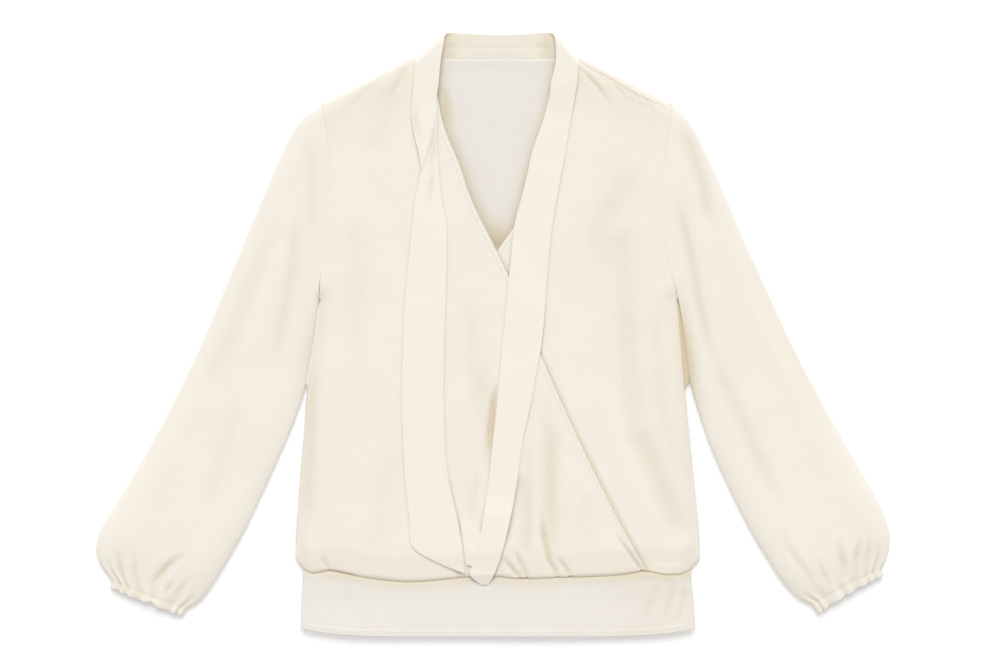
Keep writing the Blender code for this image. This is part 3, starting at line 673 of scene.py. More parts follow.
    def free_rise(self, x: np.ndarray, y: np.ndarray) -> np.ndarray:
        """1 well inside the body and 0 at its seams, where added creases die out."""
        room = smooth_step(self.side_distance(x, y) / self.crease_side_room)
        return room * smooth_step(self.shoulder_distance(x, y) / self.crease_shoulder_room)


FORM = BodyForm()


def hex_linear(code: str) -> tuple[float, float, float, float]:
    """Linear colour of an sRGB hex value.

    Args:
        code: Six hex digits, with or without a leading #.

    Returns:
        Red, green, blue and 1 for alpha.
    """
    digits = code.lstrip("#")
    parts = [int(digits[i:i + 2], 16) / 255 for i in (0, 2, 4)]
    red, green, blue = (c / 12.92 if c <= 0.04045 else ((c + 0.055) / 1.055) ** 2.4 for c in parts)
    return (red, green, blue, 1.0)


def add_node(tree: bpy.types.NodeTree, kind: str, inputs: dict, **settings) -> bpy.types.Node:
    """Add a node with its settings and links.

    Args:
        tree: Node tree to add to.
        kind: Blender's name of the node type.
        inputs: Socket name or number to a value, or to the output socket that feeds it.
        **settings: Properties of the node itself.

    Returns:
        The node.
    """
    node = tree.nodes.new(kind)
    for name, value in settings.items():
        setattr(node, name, value)
    for name, value in inputs.items():
        if isinstance(value, bpy.types.NodeSocket):
            tree.links.new(value, node.inputs[name])
        else:
            node.inputs[name].default_value = value
    return node


def new_finish(name: str, inputs: dict) -> tuple[bpy.types.Material, bpy.types.Node]:
    """Start a material.

    Args:
        name: Name of the material.
        inputs: Constant values of the shader's own sockets.

    Returns:
        The material and its shader.
    """
    material = bpy.data.materials.new(name)
    material.use_nodes = True
    shader = material.node_tree.nodes["Principled BSDF"]
    for socket, value in inputs.items():
        shader.inputs[socket].default_value = value
    return material, shader


def mixed(tree: bpy.types.NodeTree, factor: bpy.types.NodeSocket, low, high) -> bpy.types.NodeSocket:
    """Colour between two colours, each a value or a socket, by a factor."""
    node = add_node(tree, "ShaderNodeMix", {"Factor": factor, "A": low, "B": high}, data_type="RGBA")
    return node.outputs[2]


def scale_of(size_mm: float) -> float:
    """Scale of a texture whose features have a real size."""
    return 1 / (size_mm * MM)


@dataclass(frozen=True)
class CrepeGeorgette:
    """Polyester crepe georgette, woven of hard-twisted yarn: matt, pebbled and slightly uneven.

    The twist breaks up the light, so there is no gloss, only a faint bloom along folded edges.
    """

    name: str
    colour: str
    shade: str
    # Darker, warmer colour that the painted shade mixes in
    painted_shade: str = "#D9C8A6"
    pebble_mm: float = 1.1
    crinkle_mm: float = 7.0
    patch_mm: float = 60.0
    pebble_depth_mm: float = 0.05
    crinkle_depth_mm: float = 0.25
    roughness: float = 0.88
    ior: float = 1.45
    specular: float = 0.25
    sheen: float = 0.15
    sheen_roughness: float = 0.5

    def make(self) -> bpy.types.Material:
        """Build the material.

        Returns:
            The material.
        """
        material, shader = new_finish(self.name, {
            "Roughness": self.roughness, "Metallic": 0.0, "IOR": self.ior,
            "Specular IOR Level": self.specular, "Sheen Weight": self.sheen,
            "Sheen Roughness": self.sheen_roughness,
        })
        tree = material.node_tree
        place = add_node(tree, "ShaderNodeTexCoord", {}).outputs["Object"]
        # Slow change of tone over the panel, as dyed cloth has it
        patches = add_node(
            tree, "ShaderNodeTexNoise", {"Vector": place, "Scale": scale_of(self.patch_mm), "Detail": 3.0},
        )
        tone = mixed(tree, patches.outputs["Fac"], hex_linear(self.shade), hex_linear(self.colour))
        # Painted shade: the painted shade map turns the colour darker and warmer in creases, beside upper
        # layers' edges, along the sides and below the shoulders
        painted_shade_map = add_node(tree, "ShaderNodeAttribute", {}, attribute_name=PAINTED_SHADE_ATTRIBUTE)
        painted_shade = mixed(tree, painted_shade_map.outputs["Fac"], tone, hex_linear(self.painted_shade))
        tree.links.new(painted_shade, shader.inputs["Base Color"])
        # Pebbles of the crepe, about a millimetre across
        pebble = add_node(
            tree, "ShaderNodeTexVoronoi",
            {"Vector": place, "Scale": scale_of(self.pebble_mm), "Randomness": 1.0}, feature="SMOOTH_F1",
        )
        # Slight crinkle left by washing and folding
        crinkle = add_node(
            tree, "ShaderNodeTexNoise", {"Vector": place, "Scale": scale_of(self.crinkle_mm), "Detail": 2.0},
        )
        soft = add_node(
            tree, "ShaderNodeBump",
            {"Height": crinkle.outputs["Fac"], "Distance": self.crinkle_depth_mm * MM, "Strength": 1.0},
        )
        fine = add_node(
            tree, "ShaderNodeBump",
            {
                "Height": pebble.outputs["Distance"], "Distance": self.pebble_depth_mm * MM,
                "Strength": 1.0, "Normal": soft.outputs["Normal"],
            },
        )
        tree.links.new(fine.outputs["Normal"], shader.inputs["Normal"])
        return material


@dataclass(frozen=True)
class SewingThread:
    """Spun polyester thread, a little brighter than the cloth, with the gleam of a tight twist."""

    name: str = "sewing_thread"
    colour: str = "#EFEADC"
    twist_mm: float = 0.5
    twist_depth_mm: float = 0.05
    roughness: float = 0.6
    waves_per_unit: float = 6.3

    def make(self) -> bpy.types.Material:
        """Build the material.

        Returns:
            The material.
        """
        material, shader = new_finish(
            self.name, {"Base Color": hex_linear(self.colour), "Roughness": self.roughness},
        )
        tree = material.node_tree
        place = add_node(tree, "ShaderNodeTexCoord", {}).outputs["Object"]
        # Plies of the thread, half a millimetre apart
        twist = add_node(
            tree, "ShaderNodeTexWave",
            {"Vector": place, "Scale": scale_of(self.twist_mm * self.waves_per_unit)},
            bands_direction="DIAGONAL",
        )
        plies = add_node(
            tree, "ShaderNodeBump",
            {"Height": twist.outputs["Fac"], "Distance": self.twist_depth_mm * MM, "Strength": 1.0},
        )
        tree.links.new(plies.outputs["Normal"], shader.inputs["Normal"])
        return material


@dataclass(frozen=True)
class PaperSweep:
    """White matt paper on a light table, lit a little from beneath, so that only the darkest shadows show.
    """

    name: str = "paper_sweep"
    colour: str = "#F9F9F9"
    glow: float = 0.15

    def make(self) -> bpy.types.Material:
        """Build the material.

        Returns:
            The material.
        """
        return new_finish(self.name, {
            "Base Color": hex_linear(self.colour), "Roughness": 1.0, "Specular IOR Level": 0.0,
            "Emission Color": hex_linear("#FFFFFF"), "Emission Strength": self.glow,
        })[0]


class Finishes:
    """The finishes that the pieces share, each made once."""

    def __init__(self) -> None:
        """Make them."""
        self.crepe = CrepeGeorgette("crepe_georgette", "#F7F1E6", "#F4EDE1").make()
        self.inner = CrepeGeorgette("crepe_georgette_inside", "#F0EBE3", "#EDE7DE").make()
        self.double = CrepeGeorgette("crepe_georgette_double", "#F9F3E8", "#F6EFE3").make()
        self.thread = SewingThread().make()
        self.paper = PaperSweep().make()


def link_mesh(
    name: str, points: np.ndarray, faces: list[tuple[int, ...]], painted_shade_map: np.ndarray | None = None,
) -> bpy.types.Object:
    """Make an object of points in millimetres.

    Args:
        name: Name of the object and its mesh.
        points: One row of x, y and z for each point.
        faces: Numbers of the points of each face.
        painted_shade_map: How much painted shade each point gets, from 0 to 1, for the finish.

    Returns:
        The object, smooth and with its faces turned outwards.
    """
    mesh = bpy.data.meshes.new(name)
    mesh.from_pydata((points * MM).tolist(), [], faces)
    build = bmesh.new()
    build.from_mesh(mesh)
    bmesh.ops.recalc_face_normals(build, faces=build.faces)
    build.to_mesh(mesh)
    build.free()
    mesh.shade_smooth()
    # Store the painted shade, from 0 to 1, for the finish
    if painted_shade_map is not None:
        layer = mesh.attributes.new(PAINTED_SHADE_ATTRIBUTE, "FLOAT", "POINT")
        layer.data.foreach_set("value", np.clip(painted_shade_map, 0.0, 1.0).astype(np.float32).ravel())
    piece = bpy.data.objects.new(name, mesh)
    bpy.context.scene.collection.objects.link(piece)
    return piece


def grid_faces(rows: int, columns: int, closed: bool) -> list[tuple[int, ...]]:
    """Quads of a grid of points, joined round where it is closed.

    Args:
        rows: Number of rows.
        columns: Points in each row.
        closed: True where the last column joins the first.

    Returns:
        Numbers of the points of each face.
    """
    faces = []
    for row in range(rows - 1):
        for column in range(columns if closed else columns - 1):
            after = (column + 1) % columns
            a, b = row * columns + column, row * columns + after
            faces.append((a, b, b + columns, a + columns))
    return faces


def sheet_object(
    name: str, grid: np.ndarray, thickness: float, closed: bool = False, painted_shade_map: np.ndarray | None = None,
) -> bpy.types.Object:
    """Thin cloth on a grid of points of its middle surface.

    Args:
        name: Name of the piece.
        grid: Rows, columns and x, y, z of the middle surface.
        thickness: Thickness of the cloth.
        closed: True for a tube.
        painted_shade_map: How much painted shade each point gets, from 0 to 1.

    Returns:
        The piece, with a wall of even thickness.
    """
    rows, columns = grid.shape[:2]
    piece = link_mesh(name, grid.reshape(-1, 3), grid_faces(rows, columns, closed), painted_shade_map)
    wall = piece.modifiers.new("wall", "SOLIDIFY")
    wall.thickness = thickness * MM
    wall.offset = 0.0
    return piece


RIM_STEPS = 5


def doubled_object(
    name: str, grid: np.ndarray, thickness: float, painted_shade_map: np.ndarray | None = None,
) -> bpy.types.Object:
    """Cloth folded double and pressed, with round folded edges.

    Args:
        name: Name of the piece.
        grid: Rows, columns and x, y, z of the middle surface.
        thickness: Thickness over both layers.
        painted_shade_map: How much painted shade each point gets, from 0 to 1.

    Returns:
        The piece, closed at its ends.
    """
    along = np.gradient(grid, axis=0)
    across = np.gradient(grid, axis=1)
    normal = np.cross(across, along)
    normal /= np.linalg.norm(normal, axis=2, keepdims=True) + TINY
    normal *= np.where(normal[..., 2:3].mean() < 0, -1.0, 1.0)
    across /= np.linalg.norm(across, axis=2, keepdims=True) + TINY
    half = thickness / 2
    columns = [grid[:, i] + normal[:, i] * half for i in range(grid.shape[1])]
    turns = [math.pi * (0.5 - step / (RIM_STEPS + 1)) for step in range(1, RIM_STEPS + 1)]
    for turn in turns:
        out = across[:, -1] * math.cos(turn) + normal[:, -1] * math.sin(turn)
        columns.append(grid[:, -1] + out * half)
    columns += [grid[:, i] - normal[:, i] * half for i in range(grid.shape[1] - 1, -1, -1)]
    for turn in reversed(turns):
        out = -across[:, 0] * math.cos(turn) + normal[:, 0] * math.sin(turn)
        columns.append(grid[:, 0] + out * half)
    rings = np.stack(columns, axis=1)
    rows, count = rings.shape[:2]
    faces = grid_faces(rows, count, True)
    faces.append(tuple(range(count)))
    faces.append(tuple((rows - 1) * count + i for i in range(count - 1, -1, -1)))
    if painted_shade_map is not None:
        wide = list(range(grid.shape[1]))
        painted_shade_map = painted_shade_map[:, wide + wide[-1:] * RIM_STEPS + wide[::-1] + wide[:1] * RIM_STEPS]
    return link_mesh(name, rings.reshape(-1, 3), faces, painted_shade_map)


def read_path(run: np.ndarray, path: np.ndarray, at: float) -> np.ndarray:
    """Point at a place along a path, given the run to each of its points."""
    return np.array([np.interp(at, run, path[:, axis]) for axis in range(path.shape[1])])


def dress(piece: bpy.types.Object, material: bpy.types.Material, slot: Slot, *nodes: str) -> None:
    """Give a piece its finish and its place in the frame.

    Args:
        piece: The piece.
        material: Its finish.
        slot: Not used.
        *nodes: The model's nodes that it stands for.
    """
    piece.data.materials.append(material)
    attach(piece, BODY_NAME)
    if nodes:
        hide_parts(*nodes)


class StitchRing(NamedTuple):
    """One ring round a stitch: how far along, how wide and how high, as shares of its size."""

    along: float
    width: float
    lift: float


@dataclass
class Topstitch:
    """Row of stitches along a line on the cloth, each dipping into it at both ends."""

    stitch: float = 2.2
    gap: float = 0.7
    radius: float = 0.2
    sides: int = 6
    rings: tuple[StitchRing, ...] = (
        StitchRing(0.0, 0.25, -0.6), StitchRing(0.2, 0.9, 0.3),
        StitchRing(0.8, 0.9, 0.3), StitchRing(1.0, 0.25, -0.6),
    )

    def make(self, name: str, path: np.ndarray) -> bpy.types.Object:
        """Lay the stitches.

        Args:
            name: Name of the piece.
            path: Points along the seam, on the surface of the cloth.

        Returns:
            One object with all the stitches.
        """
        steps = np.linalg.norm(np.diff(path, axis=0), axis=1)
        run = np.concatenate([[0.0], np.cumsum(steps)])
        starts = np.arange(0.0, run[-1] - self.stitch, self.stitch + self.gap)
        points, faces = [], []
        for start in starts:
            base = len(points)
            points += self._points(*(read_path(run, path, start + share) for share in (0.0, self.stitch)))
            rings = grid_faces(len(self.rings), self.sides, True)
            faces += [tuple(base + corner for corner in face) for face in rings]
            faces.append(tuple(base + k for k in range(self.sides)))
            last = base + (len(self.rings) - 1) * self.sides
            faces.append(tuple(last + k for k in range(self.sides - 1, -1, -1)))
        return link_mesh(name, np.array(points), faces)

    def _points(self, start: np.ndarray, end: np.ndarray) -> list[np.ndarray]:
        """Points of one stitch, ring by ring.

        Args:
            start: Point where it starts.
            end: Point where it ends.

        Returns:
            The points.
        """
        along = (end - start) / max(np.linalg.norm(end - start), TINY)
        side = np.cross(along, (0.0, 0.0, 1.0))
        side /= max(np.linalg.norm(side), TINY)
        up = np.cross(side, along)
        points = []
        for ring in self.rings:
            centre = start + (end - start) * ring.along + up * self.radius * ring.lift
            for k in range(self.sides):
                turn = 2 * math.pi * k / self.sides
                out = side * math.cos(turn) + up * math.sin(turn)
                points.append(centre + out * self.radius * ring.width)
        return points


CRINKLE_SEED = {Side.RIGHT: 5, Side.LEFT: 11}


@dataclass
class Fronts:
    """The two fronts that cross over, each rolled under at its lower edge."""

    finishes: Finishes
    thickness: float = 0.8
    columns: int = 168
    shoulder_rows: int = 22
    armhole_rows: int = 76
    side_rows: int = 112
    roll_rows: int = 20
    roll_low: float = 0.2
    return_rows: int = 5
    return_length: float = 24.0
    roll_blend: float = 0.4
    notch_share: float = 0.8
    notch_place: float = 0.7
    least_reach: float = 0.8
    neck_drop: float = 15.0
    hem_width: float = 5.5
    hem_blend: float = 1.6
    hem_rise: float = 0.35
    stitch_inset: float = 0.6
    stitch_points: int = 400
    stitch_high_y: float = 318.0
    stitch_low_y: dict[Side, float] = field(default_factory=lambda: {Side.RIGHT: -274.0, Side.LEFT: 96.0})
    seam_overlap: float = 0.9
    # Strengths of the painted shade: in folds and creases, beside the ties, the wrap's edge and the hem,
    # along the sides and below the shoulders
    fold_full: float = 11.0
    crease_full: float = 6.5
    tie_shade: float = 0.25
    wrap_shade: float = 0.6
    side_shade: float = 0.12
    side_shade_at: float = 7.0
    side_shade_width: float = 8.0
    shoulder_shade: float = 0.16
    shoulder_shade_width: float = 36.0
    hem_shade: float = 0.26
    flat: tuple[float, float] = (0.44, 0.66)
    flat_area: float = 0.17

    def height(self, side: Side, x: np.ndarray, y: np.ndarray) -> np.ndarray:
        """Height of the middle of one front.

        Args:
            side: The wearer's side of the front.
            x: X of the places.
            y: Y of the places.

        Returns:
            The heights, with folds and creases.
        """
        z = FORM.top_height(x, y) + self.relief(side, x, y) + self.edge_rise(side, x, y)
        if side is Side.LEFT:
            z = z - FORM.under_depth(x, y)
        return z

    def relief(self, side: Side, x: np.ndarray, y: np.ndarray) -> np.ndarray:
        """What folds, creases, seams and the cloth's unevenness add to one front's height.

        Args:
            side: The wearer's side.
            x: X of the places.
            y: Y of the places.

        Returns:
            The height to add.
        """
        shown = 1.0 - FORM.hidden_part(x, y) if side is Side.LEFT else np.ones(x.shape)
        room = FORM.free_rise(x, y) * shown
        added = fold_relief(x, y) * shown + crease_relief(BODY_CREASES, x, y) * room
        added = added + Crinkle(CRINKLE_SEED[side]).relief(x, y) * room
        if side is Side.LEFT:
            added = added + SHOULDER_SEAM.relief(x, y)
        return added

    def painted_shade_map(self, side: Side, grid: np.ndarray) -> np.ndarray:
        """How much painted shade each point gets, from 0 to 1: darker in folds and creases, beside the ties,
        the wrap's edge and the hem, along the sides and below the shoulders.

        Args:
            side: The wearer's side.
            grid: Rows, columns and x, y, z of the middle surface.

        Returns:
            One value for each point of the grid.
        """
        x, y = grid[..., 0], grid[..., 1]
        shown = 1.0 - FORM.hidden_part(x, y) if side is Side.LEFT else np.ones(x.shape)
        painted_shade = -fold_relief(x, y) / self.fold_full * shown
        painted_shade = painted_shade - crease_relief(BODY_CREASES, x, y) / self.crease_full * FORM.free_rise(x, y)
        painted_shade = painted_shade - self.tie_shade * crease_relief(TIE_LINES, x, y)
        painted_shade = painted_shade - self.hem_shade * HEM_CONTACT.relief(x, y)
        if side is Side.LEFT:
            painted_shade = painted_shade - self.wrap_shade * WRAP_LINE.relief(x, y)
        from_side = FORM.side_distance(x, y) - self.side_shade_at
        painted_shade = np.maximum(painted_shade, 0.0) + self.side_shade * bump(from_side, self.side_shade_width)
        return painted_shade + self.shoulder_shade * bump(FORM.shoulder_distance(x, y), self.shoulder_shade_width)

    def edge_rise(self, side: Side, x: np.ndarray, y: np.ndarray) -> np.ndarray:
        """Rise of the narrow turned hem along the free edge."""
        away = np.abs(read(FRONT_EDGE[side], y, "y", "x") - x)
        return self.hem_rise * (1 - smooth_step((away - self.hem_width) / self.hem_blend))

    def grid(self, side: Side) -> np.ndarray:
        """Middle surface from the shoulder to the hem, round the roll and back up inside.

        Args:
            side: The wearer's side.

        Returns:
            Rows, columns and x, y, z.
        """
        rows = np.concatenate([
            np.linspace(SHOULDER_NECK_Y, SHOULDER_TIP_Y, self.shoulder_rows),
            np.linspace(SHOULDER_TIP_Y, UNDERARM_Y, self.armhole_rows)[1:],
            np.linspace(UNDERARM_Y, HEM_BASE_Y, self.side_rows)[1:],
        ])
        part = end_weighted(self.columns)[None, :]
        y_row = rows[:, None]
        edge = FORM.edge_x(side, rows)[:, None]
        free = read(FRONT_EDGE[side], rows, "y", "x")[:, None]
        at_armhole = (y_row > UNDERARM_Y) & (y_row <= SHOULDER_TIP_Y)
        inset = np.where(at_armhole, side.sign * self.seam_overlap, -side.sign * FORM.wall / 2)
        x = edge + inset + (free - edge - inset) * part
        lowering = ((SHOULDER_NECK_Y - y_row) / (SHOULDER_NECK_Y - HEM_BASE_Y)) ** 4
        raising = smooth_step((y_row - SHOULDER_TIP_Y) / (SHOULDER_NECK_Y - SHOULDER_TIP_Y))
        y = y_row + (FORM.roll_centre_y(x) - HEM_BASE_Y) * lowering - self.neck_drop * part * raising
        top = np.stack([x, y, self.height(side, x, y)], axis=2)
        return np.concatenate([top, self._roll(side, top[-1])])

    def _roll(self, side: Side, last: np.ndarray) -> np.ndarray:
        """Rows round the rolled lower edge and back up inside.

        Args:
            side: The wearer's side.
            last: Points of the row above the roll.

        Returns:
            The rows that follow the last one.
        """
        x = last[:, 0]
        centre = FORM.roll_centre_y(x)
        radius = FORM.roll_radius(x)
        depth = FORM.under_depth(x, centre) if side is Side.LEFT else np.zeros(x.shape)
        inner = np.maximum(radius - depth, FORM.roll_least)
        bottom = FORM.return_z + radius - inner
        middle = bottom + 2 * inner * self.roll_low
        widest = FORM.roll_reach * radius
        notch = crease_relief(BODY_CREASES, x, centre - widest * self.notch_place)
        notch = np.minimum(notch, 0.0) * self.notch_share
        if side is Side.LEFT:
            hidden = FORM.hidden_part(x, centre)
            notch = notch * (1.0 - hidden)
            widest = widest + (inner - widest) * hidden
        rows = []
        for step in range(1, self.roll_rows + 1):
            turn = math.pi * step / self.roll_rows
            share = ramp(step / self.roll_rows / self.roll_blend)
            reach = np.maximum(widest + notch * math.sin(turn), self.least_reach)
            top = last[:, 2] * (1 - share) + (bottom + 2 * inner) * share
            rise = (top - middle) * max(math.cos(turn), 0.0) + (middle - bottom) * min(math.cos(turn), 0.0)
            rows.append(np.stack([x, centre - reach * math.sin(turn), middle + rise], axis=1))
        back_up = np.linspace(0.0, self.return_length, self.return_rows + 1)[1:]
        rows += [rows[-1] + np.array([0.0, up, 0.0]) for up in back_up]
        return np.stack(rows)

    def stitch_path(self, side: Side) -> np.ndarray:
        """Line of the hem's stitches along a free edge, as far as it shows.

        Args:
            side: The wearer's side.

        Returns:
            Points along the seam.
        """
        y = np.linspace(self.stitch_high_y, self.stitch_low_y[side], self.stitch_points)
        inward = side.sign * (self.hem_width - self.stitch_inset)
        x = read(FRONT_EDGE[side], y, "y", "x") + inward
        return np.stack([x, y, self.height(side, x, y) + self.thickness / 2], axis=1)

    def build(self) -> list[bpy.types.Object]:
        """Make both fronts and the stitches of their edges.

        Returns:
            The panels and their stitches.
        """
        made = []
        for side in Side:
            name = f"front_{side.value}"
            grid = self.grid(side)
            panel = sheet_object(f"{name}_crepe", grid, self.thickness, painted_shade_map=self.painted_shade_map(side, grid))
            dress(panel, self.finishes.crepe, Slot.CREPE, name)
            stitches = Topstitch().make(f"{name}_stitches", self.stitch_path(side))
            dress(stitches, self.finishes.thread, Slot.CREPE)
            made += [panel, stitches]
        return made


@dataclass
class Back:
    """The back panel, flat on the surface, with a longer tail that has narrow turned hems."""

    finishes: Finishes
    thickness: float = 0.7
    columns: int = 132
    rows_above: int = 120
    tail_rows: int = 56
    edge_rows: int = 15
    edge_band: float = 14.0
    seam_y: float = 332.5
    neck_y: float = 328.0
    neck_half: float = 86.0
    corner_drop: float = 10.0
    corner_power: int = 6
    inset: float = 1.2
    side_hem: float = 8.0
    low_hem: float = 7.0
    hem_rise: float = 0.6
    hem_blend: float = 1.2
    stitch_inset: float = 1.0
    hem_lift: float = 4.6
    tail_lift: float = 4.0
    tail_flare_y: float = -312.0
    tail_flare: float = 48.0
    tail_wave: float = 0.1
    tail_wave_mm: float = 31.0
    tail_corner: float = 60.0
    tail_corner_blend: float = 80.0
    seed: int = 23
    crinkle: float = 0.5
    rest_relief: float = 0.45
    seen_low_y: float = -292.0
    seen_low_blend: float = 20.0
    seen_high_y: float = 60.0
    seen_high_blend: float = 40.0
    hem_lift_start: float = 5.0
    hem_lift_blend: float = 9.0
    seam_rise: float = 0.7
    seam_rise_y: float = 320.0
    seam_rise_blend: float = 11.0
    wedge_gap: float = -1.6
    wedge_lift: float = 4.2
    wedge_low_y: float = -80.0
    wedge_start: float = 3.2
    wedge_blend: float = 2.0
    wedge_reach: float = 6.0
    wedge_foot_y: float = -68.0
    wedge_foot_blend: float = 14.0
    wedge_top_blend: float = 10.0
    wedge_stations: int = 8
    # Strengths of the painted shade: in creases, below the hem, beside the V's edges, over the tail's right
    # part and in the wearer's left underarm
    crease_full: float = 5.0
    neck_shade: float = 0.5
    hem_shade: float = 0.5
    tail_shade: float = 0.1
    tail_shade_x: float = 90.0
    tail_shade_blend: float = 90.0
    wedge_shade: float = 0.9
    wedge_shade_x: float = 190.0
    wedge_shade_y: float = -90.0
    wedge_shade_blend: float = 20.0
    flat: tuple[float, float] = (0.48, 0.70)
    flat_area: float = 0.30
    # Lines of painted shade inside the neck, beside the right front's edge and at the V's point
    neck_shades: tuple[Crease, ...] = (
        Crease(((-66.0, 306.0), (-61.0, 282.0), (-56.0, 246.0)), 6.0, 0.35, 0.4),
        Crease(((0.0, 150.0), (-2.0, 96.0)), 10.0, 0.5, 0.6),
    )
    creases: tuple[Crease, ...] = (
        Crease(((212.0, -294.0), (206.0, -322.0), (196.0, -347.0)), 3.6, 0.9),
        Crease(((226.0, -298.0), (220.0, -326.0), (213.0, -350.0)), 3.2, 0.9),
        Crease(((192.0, -294.0), (184.0, -320.0), (172.0, -344.0)), 4.4, 0.9),
        Crease(((-214.0, -296.0), (-206.0, -320.0), (-196.0, -345.0)), 5.0, 0.4),
        Crease(((-186.0, -300.0), (-180.0, -320.0), (-170.0, -340.0)), 6.0, 0.35),
        Crease(((-20.0, 300.0), (-16.0, 220.0), (4.0, 130.0)), 12.0, -0.6),
        Crease(((34.0, 300.0), (30.0, 240.0), (18.0, 160.0)), 9.0, -0.6),
    )

    def height(self, x: np.ndarray, y: np.ndarray) -> np.ndarray:
        """Height of the middle of the back, never below where it rests.

        Args:
            x: X of the places.
            y: Y of the places.

        Returns:
            The heights.
        """
        relief = crease_relief(self.creases, x, y) + self.crinkle * Crinkle(self.seed).relief(x, y)
        free = smooth_step((self.seen_low_y - y) / self.seen_low_blend)
        free = free + smooth_step((y - self.seen_high_y) / self.seen_high_blend)
        lift = self.tail_lift * smooth_step((self.tail_flare_y - y) / self.tail_flare)
        lift = lift * (1 - self.tail_wave + self.tail_wave * np.sin(x / self.tail_wave_mm))
        lift = lift + self.seam_rise * smooth_step((y - self.seam_rise_y) / self.seam_rise_blend)
        under = read(HEM_LINE, x, "x", "y") - y + self.hem_lift_start
        lift = lift + self.hem_lift * smooth_step(under / self.hem_lift_blend)
        beyond = np.abs(x) - np.where(x < 0, -FORM.edge_x(Side.RIGHT, y), FORM.edge_x(Side.LEFT, y))
        wedge = smooth_step((beyond + self.wedge_start) / self.wedge_blend)
        lift = lift + self.wedge_lift * (wedge * (y < UNDERARM_Y) * (y > self.wedge_low_y))
        return FORM.back_z + np.maximum(relief + self.rest_relief, 0.0) * free + lift

    def grid(self) -> np.ndarray:
        """Middle surface from the neck seam to the tail's edge.

        Returns:
            Rows, columns and x, y, z.
        """
        rows = np.concatenate([
            np.linspace(self.seam_y, TAIL_TOP_Y, self.rows_above),
            np.linspace(TAIL_TOP_Y, TAIL_Y + self.edge_band, self.tail_rows)[1:],
            np.linspace(TAIL_Y + self.edge_band, TAIL_Y, self.edge_rows)[1:],
        ])
        right, left = (self.side_x(side, rows)[:, None] for side in Side)
        part = end_weighted(self.columns)[None, :]
        x = right + (left - right) * part
        corner = np.abs(2 * part - 1) ** self.corner_power
        below = (TAIL_TOP_Y - self.tail_corner - rows[:, None]) / self.tail_corner_blend
        drop = self.corner_drop * corner * smooth_step(below)
        y = rows[:, None] + drop
        z = self.height(x, y)
        edge = np.minimum(np.abs(x - right), np.abs(x - left))
        sides = (1 - smooth_step((edge - self.side_hem) / self.hem_blend)) * (rows[:, None] < HEM_BASE_Y)
        low = 1 - smooth_step((rows[:, None] - TAIL_Y - self.low_hem) / self.hem_blend)
        z = z + self.hem_rise * np.maximum(sides, low)
        return np.stack([x, y, z], axis=2)

    def side_x(self, side: Side, rows: np.ndarray) -> np.ndarray:
        """X of one side of the panel, wider at the underarm, where it fills the gap to the sleeve.

        Args:
            side: The wearer's side.
            rows: Y of the rows.

        Returns:
            The X of each row.
        """
        x = FORM.edge_x(side, np.minimum(rows, self.neck_y))
        x = np.where(rows > self.neck_y, side.sign * self.neck_half, x)
        inner = SLEEVE[side][:self.wedge_stations][::-1]
        sleeve_x = np.interp(rows, [place.inner_y for place in inner], [place.inner_x for place in inner])
        reach = np.clip(np.abs(sleeve_x) - np.abs(x) - self.wedge_gap, 0.0, self.wedge_reach)
        wedge = smooth_step((rows - self.wedge_foot_y) / self.wedge_foot_blend)
        wedge = wedge * smooth_step((UNDERARM_Y - rows) / self.wedge_top_blend)
        below = x - side.sign * (self.inset - (self.inset + reach) * wedge)
        x = np.where(rows <= UNDERARM_Y, below, x)
        return np.where(rows <= TAIL_TOP_Y, read(TAIL_SIDE[side], rows, "y", "x"), x)

    def painted_shade_map(self, grid: np.ndarray) -> np.ndarray:
        """How much painted shade each point gets, from 0 to 1: darker in creases, below the hem, beside the
        V's edges, over the tail's right part and in the underarm.

        Args:
            grid: Rows, columns and x, y, z of the middle surface.

        Returns:
            One value for each point of the grid.
        """
        x, y = grid[..., 0], grid[..., 1]
        painted_shade = np.maximum(-crease_relief(self.creases, x, y), 0.0) / self.crease_full
        painted_shade = painted_shade - self.hem_shade * HEM_CONTACT.relief(x, y)
        painted_shade = painted_shade - self.neck_shade * crease_relief(NECK_LINES, x, y)
        painted_shade = painted_shade - crease_relief(self.neck_shades, x, y)
        tail = smooth_step((x - self.tail_shade_x) / self.tail_shade_blend)
        painted_shade = painted_shade + self.tail_shade * tail * (y < HEM_BASE_Y)
        # Painted shade in the wearer's left underarm, the darker one
        beside = smooth_step((x - self.wedge_shade_x) / self.wedge_shade_blend)
        above = smooth_step((y - self.wedge_shade_y) / self.wedge_shade_blend)
        return painted_shade + self.wedge_shade * beside * above

    def stitch_path(self, grid: np.ndarray) -> np.ndarray:
        """Line of the hem's stitches: down one side, along the bottom and up the other.

        Args:
            grid: Rows, columns and x, y, z of the middle surface.

        Returns:
            Points along the seam.
        """
        tail = grid[grid[:, 0, 1] < self.seen_low_y]
        middle_y = tail[:, tail.shape[1] // 2, 1]
        bottom = np.argmin(np.abs(middle_y - TAIL_Y - self.low_hem + self.stitch_inset))
        right, left = (
            np.array([
                read_path(np.abs(row[:, 0] - row[0, 0]), row, self.side_hem - self.stitch_inset)
                for row in tail[:bottom + 1, ::step]
            ])
            for step in (1, -1)
        )
        between = tail[bottom][(tail[bottom, :, 0] > right[-1, 0]) & (tail[bottom, :, 0] < left[-1, 0])]
        path = np.concatenate([right, between, left[::-1]])
        path[:, 2] += self.thickness / 2
        return path

    def build(self) -> list[bpy.types.Object]:
        """Make the back and the stitches of its hem.

        Returns:
            The panel and its stitches.
        """
        grid = self.grid()
        panel = sheet_object("back_crepe", grid, self.thickness, painted_shade_map=self.painted_shade_map(grid))
        dress(panel, self.finishes.inner, Slot.CREPE, "back")
        stitches = Topstitch().make("back_stitches", self.stitch_path(grid))
        dress(stitches, self.finishes.thread, Slot.CREPE)
        return [panel, stitches]
